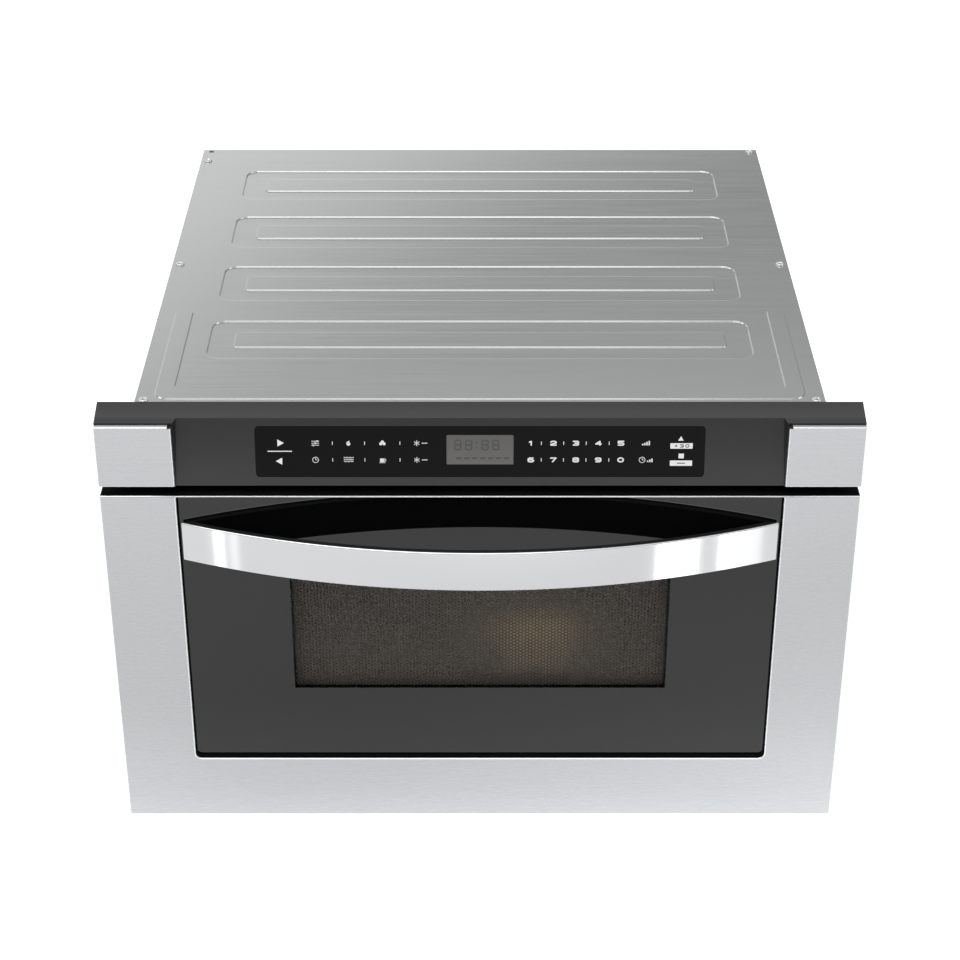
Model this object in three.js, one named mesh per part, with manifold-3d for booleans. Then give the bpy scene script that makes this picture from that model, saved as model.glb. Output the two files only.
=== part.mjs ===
// Built-in microwave drawer, 24 inch class, in millimetres.
// X runs to the right, Y runs from the front to the back and Z runs up.
// The drawer front's steel face lies in the plane y = 0 and its lower edge at z = 0 while the
// pieces are drawn; the finished group is moved so that its origin is at its bottom centre.

import * as THREE from 'three';
import { mergeVertices, toCreasedNormals } from 'three/addons/utils/BufferGeometryUtils.js';
import Module from 'manifold-3d';

const wasm = await Module();
wasm.setup();

// ---------------------------------------------------------------------------------------------
// Driving dimensions
// ---------------------------------------------------------------------------------------------

// Clearances
const seat = 0.3;              // between two pieces that rest on or are screwed to each other
const running = 1.5;           // round a piece that slides or turns past another
const backlash = 0.25;         // taken off each gear tooth at the pitch line

// Front of the appliance
const frontWidth = 606;
const drawerFrontHeight = 321;
const ventSlot = 8.3;          // open slot between the drawer front and the control panel
const frontDepth = 29;         // steel face to cabinet face
const frontSheet = 1;
const foldRadius = 0.8;        // rounded edge of the folded steel

// Window in the drawer front
const stileWidth = 60.8;       // steel on each side of the window
const windowSill = 60.3;       // lower edge of the window above the lower edge of the front
const topRail = 1.6;           // steel left above the window
const windowCorner = 5;
const glassSetback = 8;        // steel face to glass
const glassThickness = 4;
const glassLap = 7;            // glass hidden behind the steel

// Handle
const handleEndGap = 2.7;      // end of the bar to the side of the window
const handleReach = 46;        // how far the middle of the bar stands in front of the steel
const handleHeight = 35;
const handleDrop = 60.4;       // lower edge of the bar below the upper edge of the drawer front
const handleBarThickness = 3;
const handleBackingThickness = 5;
const handleFootWidth = 17;
const handleFootRise = 3;      // how far each foot stands above the bar

// Control panel
const capWidth = 61;           // steel end cap
const capHeight = 55.9;
const capLip = 2.8;            // top fold of the cap
const panelRise = 5.5;         // how much the housing's top climbs to the back
const panelLeanBottom = 2.5;   // setback of the leaning face at its lower edge
const panelLeanTop = 11.5;     // setback of the leaning face at its upper edge
const recessTaper = 3;         // how much each side wall of the recess runs in
const housingWall = 5;
const touchWidth = 354.6;
const touchHeight = 42.4;
const touchSill = 7.6;
const touchThickness = 1.7;
const touchCorner = 3;
const displayWidth = 52.8;
const displayHeight = 24.8;
const displaySill = 18;

// Casing
const frontOverlap = 25;       // how far the front stands out past the casing on each side
const casingDepth = 557.2;
const casingDrop = 13.4;       // casing top below the upper edge of the control panel
const casingLift = 3;          // underside of the casing above the lower edge of the front
const casingSheet = 1;
const baseSheet = 1.2;
const sideFlange = 14;
const mountingEar = 14;        // how far the face flange stands out past the casing on each side
const earBore = 2.5;
const earBoreInset = 60;       // outer ear screws from the flange's ends

// Beads pressed into the top cover: the rings go down and the yoke stands up
const beadRise = 1.6;
const beadSlope = 1.4;         // width of a bead's sloping wall
const beadWall = 0.45;         // kept beside the slope so that the wall is as thick as the sheet
const ringCount = 4;
const ringRearMargin = 55.4;   // behind the last ring
const ringFirst = 129.4;       // front edge of the first ring
const ringDepth = 70.8;
const ringInset = 49;          // ring to the side of the casing
const ringBand = 21.8;
const ringCorner = 12;
const ringInnerCorner = 4;
const yokeInset = 15;          // U-shaped bead along the front edge
const yokeFront = 56.8;
const yokeBack = 222;
const yokeBand = 15.2;
const coverScrewInset = 7.2;
const coverScrewFront = 56;
const coverScrewMiddle = 314;
const coverScrewRear = { left: 30, right: 8 };
const coverScrewBore = 1.7;
const coverSlotInset = 8;      // small slot behind the last screw on the left
const coverSlotLength = 7;
const coverSlotWidth = 3.4;

// Oven cavity and drawer tub
const cavitySideRoom = 58;     // cavity to the side of the casing
const rearCompartment = 134.2; // rear of the cavity to the rear of the casing
const cavityFloor = 104;
const cavityHeadroom = 34.4;   // cavity ceiling below the upper edge of the drawer front
const cavitySheet = 0.8;
const cavityCorner = 12;
const tubClearance = 6;
const tubHeight = 118;
const tubWall = 1.2;
const tubCorner = 14;
const tubSill = 14;            // height of the stop along the tub's open front
const trayThickness = 5;

// Door body behind the glass
const screenWidth = 309;
const screenRise = 22;         // lower edge of the perforated area above the cavity floor
const screenHeadroom = 36.6;   // upper edge of the perforated area below the cavity ceiling
const screenSheet = 0.8;
const doorSheet = 1;
const plugClearance = 4;       // door plug to cavity wall
const plugDepth = 7;
const chokeBand = 24;
const chokeFingers = 7;

// Drawer slides
const travel = 381;
const slideLength = 440;
const slideHeight = 45;
const slideWidth = 12.7;
const slideSheet = 1.3;
const slideCentre = 53;        // height of the slide's centre line
const slideBackInset = 17;     // back of the slide to the inside of the side panel
const slideBoreInset = 40;     // outer member's end slots from its ends
const slideBoreLength = 10;
const slideBoreHeight = 5;
const slideTabInset = 30;      // inner member's front slot from its front end
const slideTabLength = 8;
const slideTabHeight = 4.5;
const slideWindowLength = 60;  // openings in the middle member's web
const slideWindowHeight = 12;
const ballRadius = 1.6;
const ballsPerRow = 3;

// Rack and pinion drive
const toothModule = 2.5;
const pinionTeeth = 17;
const rackWidth = 9.4;
const rackBack = 6;            // rack height behind the tooth roots
const rackTeeth = 53;
const shaftHeight = 29;
const shaftSetback = 60;       // shaft behind the steel face
const shaftRadius = 5;
const trainModule = 1.6;
const shaftGearTeeth = 24;
const motorGearTeeth = 15;
const trainOffset = 60;        // gear train to the middle of the appliance
const trainWidth = 8;
const armSheet = 2;
const armHeight = 45;
const motorRadius = 18;
const motorLength = 58;
const gearboxSize = 40;
const gearboxDepth = 22;
const gearboxCorner = 8;
const motorBoss = 7;
const motorShaftRadius = 3;

// Vents
const ventWidth = 4;
const sideVentCount = 5;
const sideVentPitch = 14;
const sideVentSill = 170;
const sideVentLength = 65;
const sideVentSetback = 43;    // rear end of the side vents in front of the casing's rear
const baseVentCount = 7;
const baseVentPitch = 16;
const baseVentLength = 80;
const baseVentInset = 38;      // first base vent from the casing's left side
const baseVentSetback = 30;    // rear end of the base vents in front of the casing's rear
const baseGrooveSpan = 260;    // between the two grooves in the base
const baseGrooveWidth = 24;
const baseGrooveSetback = 130;
const baseGrooveLength = 310;
const rearVentCount = 4;
const rearVentPitch = 14;
const rearVentSill = 40;
const rearVentLength = 90;
const rearVentLeft = 60;
const faceVentCount = 10;
const faceVentPitch = 50;
const faceVentLength = 32;
const cavityVentRadius = 2;
const cavityVentPitch = 9;
const lampVentPitch = 8;

// Small holders and switches
const supportWidth = 340;
const supportFlange = 20;
const supportSheet = 1.5;
const supportSetback = 26;     // bracket in front of the cavity's rear
const supportHole = 22;
const supportHolePitch = 73.4;
const latchOut = 44;           // latch hook beside the cavity
const latchRise = 96;          // and above its floor
const switchWidth = 12;
const switchDepth = 28;
const switchHeight = 16;
const switchButton = 2;
const switchPitch = 19;
const interlockReach = 60;
const interlockDrop = 46;
const interlockSheet = 2;

// Microwave generator and cooling
const guideWidth = 86;
const guideHeight = 34;
const guideSheet = 1;
const stirrerSetback = 245;
const stirrerRadius = 52;
const stirrerWell = 20;        // depth of the stirrer cover below the cavity ceiling
const magnetronWidth = 94;
const magnetronDepth = 78;
const magnetronHeight = 86;
const finCount = 6;
const fanSize = 120;
const fanDepth = 38;
const fanBlades = 7;
const fanInset = 110;          // fan's axis to the left side of the casing
const fanZ = 236;
const fanHubRadius = 21;
const fanHubDepth = 16;
const fanAxleRadius = 2.5;
const coreWidth = 100;
const coreHeight = 82;
const coreStack = 60;
const transformerInset = 128;  // transformer's middle to the right side of the casing
const capacitorHeight = 92;
const capacitorWidth = 54;
const capacitorDepth = 32;
const capacitorX = -130;
const filterWidth = 100;
const filterHeight = 82;
const filterInset = 28;        // filter board to the right side of the casing
const filterSill = 180;
const filterStandoff = 10;
const boardSheet = 1.6;
const filterCoilRadius = 15;
const filterCoilLength = 21;
const fuseLength = 32;
const fuseRadius = 4;
const suppressorWidth = 30;
const suppressorDepth = 16;
const lampInset = 70;          // lamp to the right side of the cavity
const lampY = 190;
const lampHoodWidth = 40;
const lampHoodDepth = 36;
const lampHoodHeight = 44;
const lampBase = 9;
const lampBulb = 11.5;
const lampLength = 41;
const glandInset = 52;         // cord gland to the right side of the casing
const glandZ = 300;
const glandBore = 9;
const glandFlange = 14;
const glandReach = 12;
const cordBore = 4.6;

// ---------------------------------------------------------------------------------------------
// Places worked out from the driving dimensions
// ---------------------------------------------------------------------------------------------

const halfFront = frontWidth / 2;
const controlBottom = drawerFrontHeight + ventSlot;
const capTop = controlBottom + capHeight;
const housingTop = capTop + panelRise;
const capInner = halfFront - capWidth;

const flangeFront = frontDepth + seat;
const flangeBack = flangeFront + baseSheet;
const casingFront = flangeBack + seat;
const casingRear = casingFront + casingDepth;
const casingWidth = frontWidth - 2 * frontOverlap;
const halfCasing = casingWidth / 2;
const casingTop = housingTop - casingDrop;
const baseTop = casingLift + baseSheet;
const coverUnderside = casingTop - casingSheet;
const sideInside = halfCasing - casingSheet;
const rearInside = casingRear - casingSheet;
const coverScrewRows = {
  left: [coverScrewFront, coverScrewMiddle, casingRear - coverScrewRear.left],
  right: [coverScrewFront, coverScrewMiddle, casingRear - coverScrewRear.right],
};

const ringPitch = (casingRear - ringRearMargin - ringDepth - ringFirst) / (ringCount - 1);
const ringWidth = casingWidth - 2 * ringInset;
const yokeWidth = casingWidth - 2 * yokeInset;

const cavityTop = drawerFrontHeight - cavityHeadroom;
const cavityBack = casingRear - rearCompartment;
const cavityWidth = casingWidth - 2 * cavitySideRoom;
const cavityRoof = cavityTop + cavitySheet;
const halfCavity = cavityWidth / 2;

const windowTop = drawerFrontHeight - topRail;
const windowWidth = frontWidth - 2 * stileWidth;
const handleSpan = windowWidth - 2 * handleEndGap;
const handleSill = drawerFrontHeight - handleDrop;
const screenSill = cavityFloor + screenRise;
const screenTop = cavityTop - screenHeadroom;
const glassFront = glassSetback + seat;
const glassBack = glassFront + glassThickness;
const glassTop = drawerFrontHeight - frontSheet - seat;
const screenFront = glassBack + seat;
const doorBackFront = frontDepth - 4.5;
const doorBackRear = doorBackFront + doorSheet;
const plugWidth = cavityWidth - 2 * plugClearance;
const plugBottom = cavityFloor + plugClearance;
const plugTop = cavityTop - plugClearance;
const plugRear = doorBackRear + plugDepth;
const chokeOuter = plugWidth / 2 + seat + chokeBand;
const chokeBottom = plugBottom - seat - chokeBand;

const tubWidth = cavityWidth - 2 * tubClearance;
const tubBottom = cavityFloor + tubClearance - 1;
const tubFront = plugRear + seat;
const tubBack = cavityBack - tubClearance;

const slideFront = casingFront + running;
const slideBack = slideFront + slideLength;
const slideOuterFace = sideInside - slideBackInset;
const slideInnerFace = slideOuterFace - slideWidth;
const armOuter = slideInnerFace - seat;
const armInner = armOuter - armSheet;
const armBottom = slideCentre - 19;
const armTop = armBottom + armHeight;
const rackOuter = armInner - seat;
const rackInner = rackOuter - rackWidth;

const pinionRadius = toothModule * pinionTeeth / 2;
const rackPitch = Math.PI * toothModule;
const rackPitchLine = shaftHeight + pinionRadius + 0.1;
const rackRoot = rackPitchLine + 1.25 * toothModule;
const shaftGearRadius = trainModule * shaftGearTeeth / 2;
const motorGearRadius = trainModule * motorGearTeeth / 2;
const motorSetback = shaftSetback + shaftGearRadius + motorGearRadius + 0.1;

const guideBottom = cavityRoof + seat;
const guideTop = guideBottom + guideHeight;
const magnetronCentre = (cavityBack + rearInside) / 2 - 4;
const guideFront = stirrerSetback - guideWidth / 2;
const guideBack = magnetronCentre + guideWidth / 2;
const lampX = halfCavity - lampInset;
const lampHeight = guideBottom + lampHoodHeight / 2;
const fanX = fanInset - halfCasing;
const transformerX = halfCasing - transformerInset;
const filterLeft = halfCasing - filterInset - filterWidth;
const glandX = halfCasing - glandInset;

// ---------------------------------------------------------------------------------------------
// Finishes: colour, roughness, metalness
// ---------------------------------------------------------------------------------------------

const finishes = {
  brushedSteel: [0xc9ccd0, 0.32, 1],
  polishedSteel: [0xd8dadc, 0.18, 1],
  galvanised: [0xb4b7ba, 0.42, 1],
  copper: [0xb06a3a, 0.45, 0.9],
  brightSteel: [0xa8abae, 0.3, 1],
  castAluminium: [0xaab0b4, 0.45, 0.9],
  lamination: [0x55585c, 0.6, 0.7],
  blackPlastic: [0x242526, 0.45, 0],
  darkHousing: [0x33353a, 0.4, 0],
  darkGlass: [0x111214, 0.08, 0],
  displayGrey: [0x6e6e6e, 0.25, 0],
  clearGlass: [0xcfd6d8, 0.06, 0],
  ceramic: [0xe9e7e0, 0.3, 0],
  cavityPaint: [0xb9b5aa, 0.5, 0.2],
  blackPaint: [0x1a1b1c, 0.5, 0.2],
  nylon: [0xe4e2d8, 0.5, 0],
  board: [0x2f5a3a, 0.6, 0],
  mica: [0xd6cbb0, 0.6, 0],
  whitePlastic: [0xdedede, 0.5, 0],
};

function material(finish) {
  const [color, roughness, metalness] = finishes[finish];
  return new THREE.MeshStandardMaterial({ color, roughness, metalness });
}

// ---------------------------------------------------------------------------------------------
// Solids
// ---------------------------------------------------------------------------------------------

function solidOf(geometry) {
  const bare = geometry.clone();
  bare.deleteAttribute('normal');
  bare.deleteAttribute('uv');
  const merged = mergeVertices(bare, 1e-4);
  return new wasm.Manifold(new wasm.Mesh({
    numProp: 3,
    vertProperties: new Float32Array(merged.attributes.position.array),
    triVerts: new Uint32Array(merged.index.array),
  }));
}

function geometryOf(solid) {
  const mesh = solid.getMesh();
  const geometry = new THREE.BufferGeometry();
  geometry.setAttribute('position', new THREE.BufferAttribute(new Float32Array(mesh.vertProperties), 3));
  geometry.setIndex(new THREE.BufferAttribute(new Uint32Array(mesh.triVerts), 1));
  return toCreasedNormals(geometry, Math.PI / 6);
}

const join = (first, ...others) => others.reduce((sum, other) => sum.add(other), first);
const cut = (first, ...others) => others.reduce((rest, other) => rest.subtract(other), first);

// Turns a geometry drawn with its profile in X and Y, and its depth in Z, so that the profile
// lies across the given axis and the depth runs from one place on that axis to another.
function place(geometry, from, to, axis) {
  if (axis === 'x') {
    geometry.applyMatrix4(new THREE.Matrix4().makeBasis(
      new THREE.Vector3(0, 1, 0), new THREE.Vector3(0, 0, 1), new THREE.Vector3(1, 0, 0)));
    return geometry.translate(from, 0, 0);
  }
  if (axis === 'y') {
    return geometry.rotateX(Math.PI / 2).translate(0, to, 0);
  }
  return geometry.translate(0, 0, from);
}

// A profile in (x, y) rises along z, one in (x, z) runs along y and one in (y, z) along x.
function extrude(profile, from, to, axis = 'z', curveSegments = 1) {
  const outline = new THREE.Shape(profile.getPoints(curveSegments));
  const geometry = new THREE.ExtrudeGeometry(outline, { depth: to - from, bevelEnabled: false });
  const past = 1;
  const holes = profile.holes.map((hole) => extrude(new THREE.Shape(hole.getPoints(curveSegments)),
    from - past, to + past, axis));
  return cut(solidOf(place(geometry, from, to, axis)), ...holes);
}

// The same with its outline kept and both rims rounded.
function extrudeRounded(profile, from, to, axis, radius, curveSegments = 2, segments = 1) {
  const geometry = new THREE.ExtrudeGeometry(profile, {
    depth: to - from - 2 * radius,
    bevelEnabled: true,
    bevelThickness: radius,
    bevelSize: radius,
    bevelOffset: -radius,
    bevelSegments: segments,
    curveSegments,
  });
  geometry.translate(0, 0, radius);
  return solidOf(place(geometry, from, to, axis));
}

function box(x0, x1, y0, y1, z0, z1) {
  const geometry = new THREE.BoxGeometry(x1 - x0, y1 - y0, z1 - z0);
  return solidOf(geometry.translate((x0 + x1) / 2, (y0 + y1) / 2, (z0 + z1) / 2));
}

// A cylinder about a line along the given axis; the other two coordinates place it.
function rod(axis, first, second, from, to, radius, sides = 12) {
  const geometry = new THREE.CylinderGeometry(radius, radius, to - from, sides);
  if (axis === 'x') {
    geometry.rotateZ(-Math.PI / 2).translate((from + to) / 2, first, second);
  } else if (axis === 'y') {
    geometry.translate(first, (from + to) / 2, second);
  } else {
    geometry.rotateX(Math.PI / 2).translate(first, second, (from + to) / 2);
  }
  return solidOf(geometry);
}

// The same solid on the other side of the plane x = 0.
function mirrored(geometry) {
  const other = geometry.clone().scale(-1, 1, 1);
  const index = other.index;
  for (let i = 0; i < index.count; i += 3) {
    const second = index.getX(i + 1);
    index.setX(i + 1, index.getX(i + 2));
    index.setX(i + 2, second);
  }
  return other;
}

function onSide(solid, side) {
  if (side > 0) {
    return solid;
  }
  const mesh = solid.getMesh();
  const geometry = new THREE.BufferGeometry();
  geometry.setAttribute('position', new THREE.BufferAttribute(new Float32Array(mesh.vertProperties), 3));
  geometry.setIndex(new THREE.BufferAttribute(new Uint32Array(mesh.triVerts), 1));
  return solidOf(mirrored(geometry));
}

// ---------------------------------------------------------------------------------------------
// Profiles
// ---------------------------------------------------------------------------------------------

function polygon(points) {
  return new THREE.Shape(points.map(([u, v]) => new THREE.Vector2(u, v)));
}

// A rectangle with a corner radius, or with one radius for its lower and one for its upper corners.
function rectangle(u0, v0, u1, v1, lower = 0, upper = lower) {
  const shape = new THREE.Shape();
  shape.moveTo(u0 + lower, v0);
  shape.lineTo(u1 - lower, v0);
  if (lower > 0) shape.absarc(u1 - lower, v0 + lower, lower, -Math.PI / 2, 0, false);
  shape.lineTo(u1, v1 - upper);
  if (upper > 0) shape.absarc(u1 - upper, v1 - upper, upper, 0, Math.PI / 2, false);
  shape.lineTo(u0 + upper, v1);
  if (upper > 0) shape.absarc(u0 + upper, v1 - upper, upper, Math.PI / 2, Math.PI, false);
  shape.lineTo(u0, v0 + lower);
  if (lower > 0) shape.absarc(u0 + lower, v0 + lower, lower, Math.PI, 1.5 * Math.PI, false);
  return shape;
}

function centred(width, v0, v1, lower = 0, upper = lower) {
  return rectangle(-width / 2, v0, width / 2, v1, lower, upper);
}

// A circle in four quarters, so that it keeps its roundness at a low count of segments.
function disc(u, v, radius) {
  const shape = new THREE.Shape();
  for (let quarter = 0; quarter < 4; quarter += 1) {
    shape.absarc(u, v, radius, quarter * Math.PI / 2, (quarter + 1) * Math.PI / 2, false);
  }
  return shape;
}

function withHoles(shape, ...holes) {
  shape.holes.push(...holes);
  return shape;
}

// Involute spur gear. The first tooth, or the first gap, lies at the given angle.
function gearProfile(teeth, size, angle, startsWithGap) {
  const pitch = size * teeth / 2;
  const base = pitch * Math.cos(pressureAngle);
  const tip = pitch + size;
  const root = pitch - 1.25 * size;
  const involute = (a) => Math.tan(a) - a;
  const halfTooth = Math.PI / (2 * teeth) - backlash / (2 * pitch);
  const halfAt = (radius) => halfTooth + involute(pressureAngle)
    - involute(Math.acos(Math.min(1, base / radius)));
  const flankFrom = Math.max(base, root);
  const flank = [flankFrom, pitch, tip];
  const points = [];
  for (let tooth = 0; tooth < teeth; tooth += 1) {
    const middle = angle + (tooth + (startsWithGap ? 0.5 : 0)) * 2 * Math.PI / teeth;
    const at = (radius, turn) => [radius * Math.cos(middle + turn), radius * Math.sin(middle + turn)];
    points.push(at(root, -halfAt(flankFrom)));
    flank.forEach((radius) => points.push(at(radius, -halfAt(radius))));
    [...flank].reverse().forEach((radius) => points.push(at(radius, halfAt(radius))));
    points.push(at(root, halfAt(flankFrom)));
  }
  return polygon(root < flankFrom ? points : dropRepeats(points));
}

const pressureAngle = 20 * Math.PI / 180;

function dropRepeats(points) {
  return points.filter((point, i) => {
    const before = points[(i + points.length - 1) % points.length];
    return Math.hypot(point[0] - before[0], point[1] - before[1]) > 1e-6;
  });
}

// Straight rack along y with its teeth pointing down and one tooth at y = 0.
function rackProfile(firstTooth, lastTooth) {
  const tipZ = rackPitchLine - toothModule;
  const halfPitchLine = rackPitch / 4 - backlash / 2;
  const spread = (z) => halfPitchLine + (z - rackPitchLine) * Math.tan(pressureAngle);
  const points = [];
  for (let tooth = firstTooth; tooth <= lastTooth; tooth += 1) {
    const y = tooth * rackPitch;
    points.push([y - spread(rackRoot), rackRoot], [y - spread(tipZ), tipZ]);
    points.push([y + spread(tipZ), tipZ], [y + spread(rackRoot), rackRoot]);
  }
  points.push([points[points.length - 1][0], rackRoot + rackBack], [points[0][0], rackRoot + rackBack]);
  return polygon(points);
}

// ---------------------------------------------------------------------------------------------
// Scene graph
// ---------------------------------------------------------------------------------------------

const model = new THREE.Group();

function piece(name, solid, finish, parent = model) {
  const mesh = new THREE.Mesh(geometryOf(solid), material(finish));
  mesh.name = name;
  parent.add(mesh);
  return mesh;
}

function pair(name, build, finish, parent = model) {
  for (const [word, side] of [['left', -1], ['right', 1]]) {
    piece(`${name}_${word}`, onSide(build(word), side), finish, parent);
  }
}

// ---------------------------------------------------------------------------------------------
// Casing
// ---------------------------------------------------------------------------------------------

// A band between rounded outlines whose rim slopes in over the last of its height, which is at z = 0.
function bandSolid(profile, grow, turned, z) {
  const root = 3 * beadRise;
  const geometry = new THREE.ExtrudeGeometry(profile, {
    depth: root, bevelEnabled: true, bevelThickness: beadRise, bevelSize: beadSlope,
    bevelOffset: grow - beadSlope, bevelSegments: 1, curveSegments: 1,
  });
  geometry.translate(0, 0, -root);
  if (turned) {
    geometry.rotateX(Math.PI);
  }
  return geometry.translate(0, 0, z);
}

// What a bead adds to the sheet and what it takes away, moved back by a setback. A raised bead
// stands up from the sheet; a sunk one is the same form turned over, so its outline is symmetrical.
function bead(profile, sunk, setback) {
  const half = casingWidth;
  const sheetOnly = sunk
    ? box(-half, half, -casingRear, casingRear, casingTop, casingTop + 10 * beadRise)
    : box(-half, half, -casingRear, casingRear, coverUnderside - 10 * beadRise, coverUnderside);
  const outer = bandSolid(profile, 0, sunk, sunk ? coverUnderside : casingTop);
  const inner = bandSolid(profile, -beadWall, sunk, sunk ? casingTop : coverUnderside);
  return {
    outside: cut(solidOf(outer), sheetOnly).translate([0, setback, 0]),
    inside: solidOf(inner).translate([0, setback, 0]),
  };
}

function ringProfile() {
  const half = ringDepth / 2;
  const outer = centred(ringWidth, -half, half, ringCorner);
  const inner = centred(ringWidth - 2 * ringBand, ringBand - half, half - ringBand, ringInnerCorner);
  return withHoles(outer, inner);
}

// U-shaped bead: one band along the front edge with an arm along each side.
function yokeProfile() {
  const half = yokeWidth / 2;
  const corner = ringCorner;
  const tip = yokeBand / 2;
  const shape = new THREE.Shape();
  shape.moveTo(-half + corner, yokeFront);
  shape.lineTo(half - corner, yokeFront);
  shape.absarc(half - corner, yokeFront + corner, corner, -Math.PI / 2, 0, false);
  shape.lineTo(half, yokeBack - tip);
  shape.absarc(half - tip, yokeBack - tip, tip, 0, Math.PI, false);
  shape.lineTo(half - yokeBand, yokeFront + yokeBand + tip);
  shape.absarc(half - yokeBand - tip, yokeFront + yokeBand + tip, tip, 0, -Math.PI / 2, true);
  shape.lineTo(-half + yokeBand + tip, yokeFront + yokeBand);
  shape.absarc(-half + yokeBand + tip, yokeFront + yokeBand + tip, tip, -Math.PI / 2, -Math.PI, true);
  shape.lineTo(-half + yokeBand, yokeBack - tip);
  shape.absarc(-half + tip, yokeBack - tip, tip, 0, Math.PI, false);
  shape.lineTo(-half, yokeFront + corner);
  shape.absarc(-half + corner, yokeFront + corner, corner, Math.PI, 1.5 * Math.PI, false);
  return shape;
}

function topCover() {
  const screwX = halfCasing - coverScrewInset;
  const bores = [
    ...coverScrewRows.left.map((y) => disc(-screwX, y, coverScrewBore)),
    ...coverScrewRows.right.map((y) => disc(screwX, y, coverScrewBore)),
  ];
  const slotY = casingRear - coverSlotInset;
  const slot = rectangle(-screwX - coverSlotLength / 2, slotY - coverSlotWidth / 2,
    -screwX + coverSlotLength / 2, slotY + coverSlotWidth / 2);
  const sheet = extrude(withHoles(rectangle(-halfCasing, casingFront, halfCasing, casingRear), ...bores, slot),
    coverUnderside, casingTop);
  const beads = [bead(yokeProfile(), false, 0)];
  for (let index = 0; index < ringCount; index += 1) {
    beads.push(bead(ringProfile(), true, ringFirst + index * ringPitch + ringDepth / 2));
  }
  return cut(join(sheet, ...beads.map((each) => each.outside)), ...beads.map((each) => each.inside));
}

function sidePanel(word) {
  const outer = halfCasing;
  const bottom = baseTop + seat;
  const top = coverUnderside - seat;
  const profile = polygon([
    [outer, bottom], [outer, top], [outer - sideFlange, top], [outer - sideFlange, top - casingSheet],
    [outer - casingSheet, top - casingSheet], [outer - casingSheet, bottom + casingSheet],
    [outer - sideFlange, bottom + casingSheet], [outer - sideFlange, bottom],
  ]);
  const past = 3 * casingSheet;
  const bores = coverScrewRows[word].map((y) => rod('z', outer - coverScrewInset, y, top - past, top + past,
    coverScrewBore, 8));
  const vents = [];
  const back = casingRear - sideVentSetback;
  for (let row = 0; row < sideVentCount; row += 1) {
    const z = sideVentSill + row * sideVentPitch;
    const slot = rectangle(back - sideVentLength, z, back, z + ventWidth, ventWidth * 0.48);
    vents.push(extrude(slot, outer - past, outer + past, 'x'));
  }
  return cut(extrude(profile, casingFront, rearInside - seat, 'y'), ...bores, ...vents);
}

function basePlate() {
  const holes = [];
  const back = casingRear - baseVentSetback;
  for (let column = 0; column < baseVentCount; column += 1) {
    const x = baseVentInset - halfCasing + column * baseVentPitch;
    holes.push(rectangle(x, back - baseVentLength, x + ventWidth, back, ventWidth * 0.48));
  }
  const plate = extrude(withHoles(rectangle(-halfCasing, casingFront, halfCasing, casingRear), ...holes),
    casingLift, baseTop);
  const grooveDepth = baseSheet * 0.4;
  const grooves = [-1, 1].map((side) => {
    const x = side * baseGrooveSpan / 2;
    const slot = rectangle(x - baseGrooveWidth / 2, baseGrooveSetback, x + baseGrooveWidth / 2,
      baseGrooveSetback + baseGrooveLength, baseGrooveWidth * 0.46);
    return extrude(slot, casingLift - 1, casingLift + grooveDepth, 'z', 2);
  });
  return cut(plate, ...grooves);
}

function rearPanel() {
  const holes = [];
  const rows = 7;
  const pitch = fanSize / (rows + 1);
  const slotHalf = ventWidth * 0.65;
  const grilleRadius = fanSize / 2 - ventWidth;
  for (let row = 1; row <= rows; row += 1) {
    const z = fanZ - fanSize / 2 + row * pitch;
    const half = Math.sqrt(grilleRadius ** 2 - (z - fanZ) ** 2);
    holes.push(rectangle(fanX - half, z - slotHalf, fanX + half, z + slotHalf, slotHalf * 0.96));
  }
  for (let row = 0; row < rearVentCount; row += 1) {
    const z = rearVentSill + row * rearVentPitch;
    holes.push(rectangle(rearVentLeft, z, rearVentLeft + rearVentLength, z + ventWidth, ventWidth * 0.48));
  }
  const profile = withHoles(centred(casingWidth, baseTop + seat, coverUnderside - seat), ...holes);
  const glandHole = rod('y', glandX, glandZ, rearInside - 1, casingRear + 1, glandBore, 24);
  return cut(extrude(profile, rearInside, casingRear, 'y'), glandHole);
}

function cordGland() {
  const collar = glandReach / 4;
  const inside = -0.75 * glandReach;
  const profile = [
    [cordBore, glandReach], [cordBore, inside], [glandBore - seat, inside], [glandBore - seat, 0],
    [glandFlange, 0], [glandFlange, collar], [glandBore, glandReach],
  ];
  const points = [...profile, profile[0]].map(([r, y]) => new THREE.Vector2(r, y));
  const ring = new THREE.LatheGeometry(points, 16);
  return solidOf(ring.translate(glandX, casingRear + seat, glandZ));
}

// ---------------------------------------------------------------------------------------------
// Face flange, cavity and its supports
// ---------------------------------------------------------------------------------------------

const slideSlot = [rackInner - 12, armBottom - 3, slideOuterFace - slideSheet + 0.6, armTop + 3];
const latchX = halfCavity + latchOut;
const latchZ = cavityFloor + latchRise;

function faceFlange() {
  const holes = [centred(cavityWidth, cavityFloor, cavityTop, cavityCorner)];
  for (const side of [-1, 1]) {
    const [x0, z0, x1, z1] = slideSlot;
    holes.push(rectangle(Math.min(side * x0, side * x1), z0, Math.max(side * x0, side * x1), z1));
    holes.push(rectangle(side * latchX - 5, latchZ - 14, side * latchX + 5, latchZ + 10));
    const earX = side * (halfCasing + mountingEar / 2);
    for (const z of [earBoreInset, (casingLift + casingTop) / 2, casingTop - earBoreInset]) {
      holes.push(disc(earX, z, earBore));
    }
  }
  for (let column = 0; column < faceVentCount; column += 1) {
    const x = (column - faceVentCount / 2 + 0.12) * faceVentPitch;
    holes.push(rectangle(x, drawerFrontHeight + 1, x + faceVentLength, controlBottom - running));
  }
  holes.push(centred(displayWidth * 3, controlBottom + touchSill + 8, capTop - displaySill));
  const outline = centred(casingWidth + 2 * mountingEar, casingLift, coverUnderside - seat);
  return extrude(withHoles(outline, ...holes), flangeFront, flangeBack, 'y');
}

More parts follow.
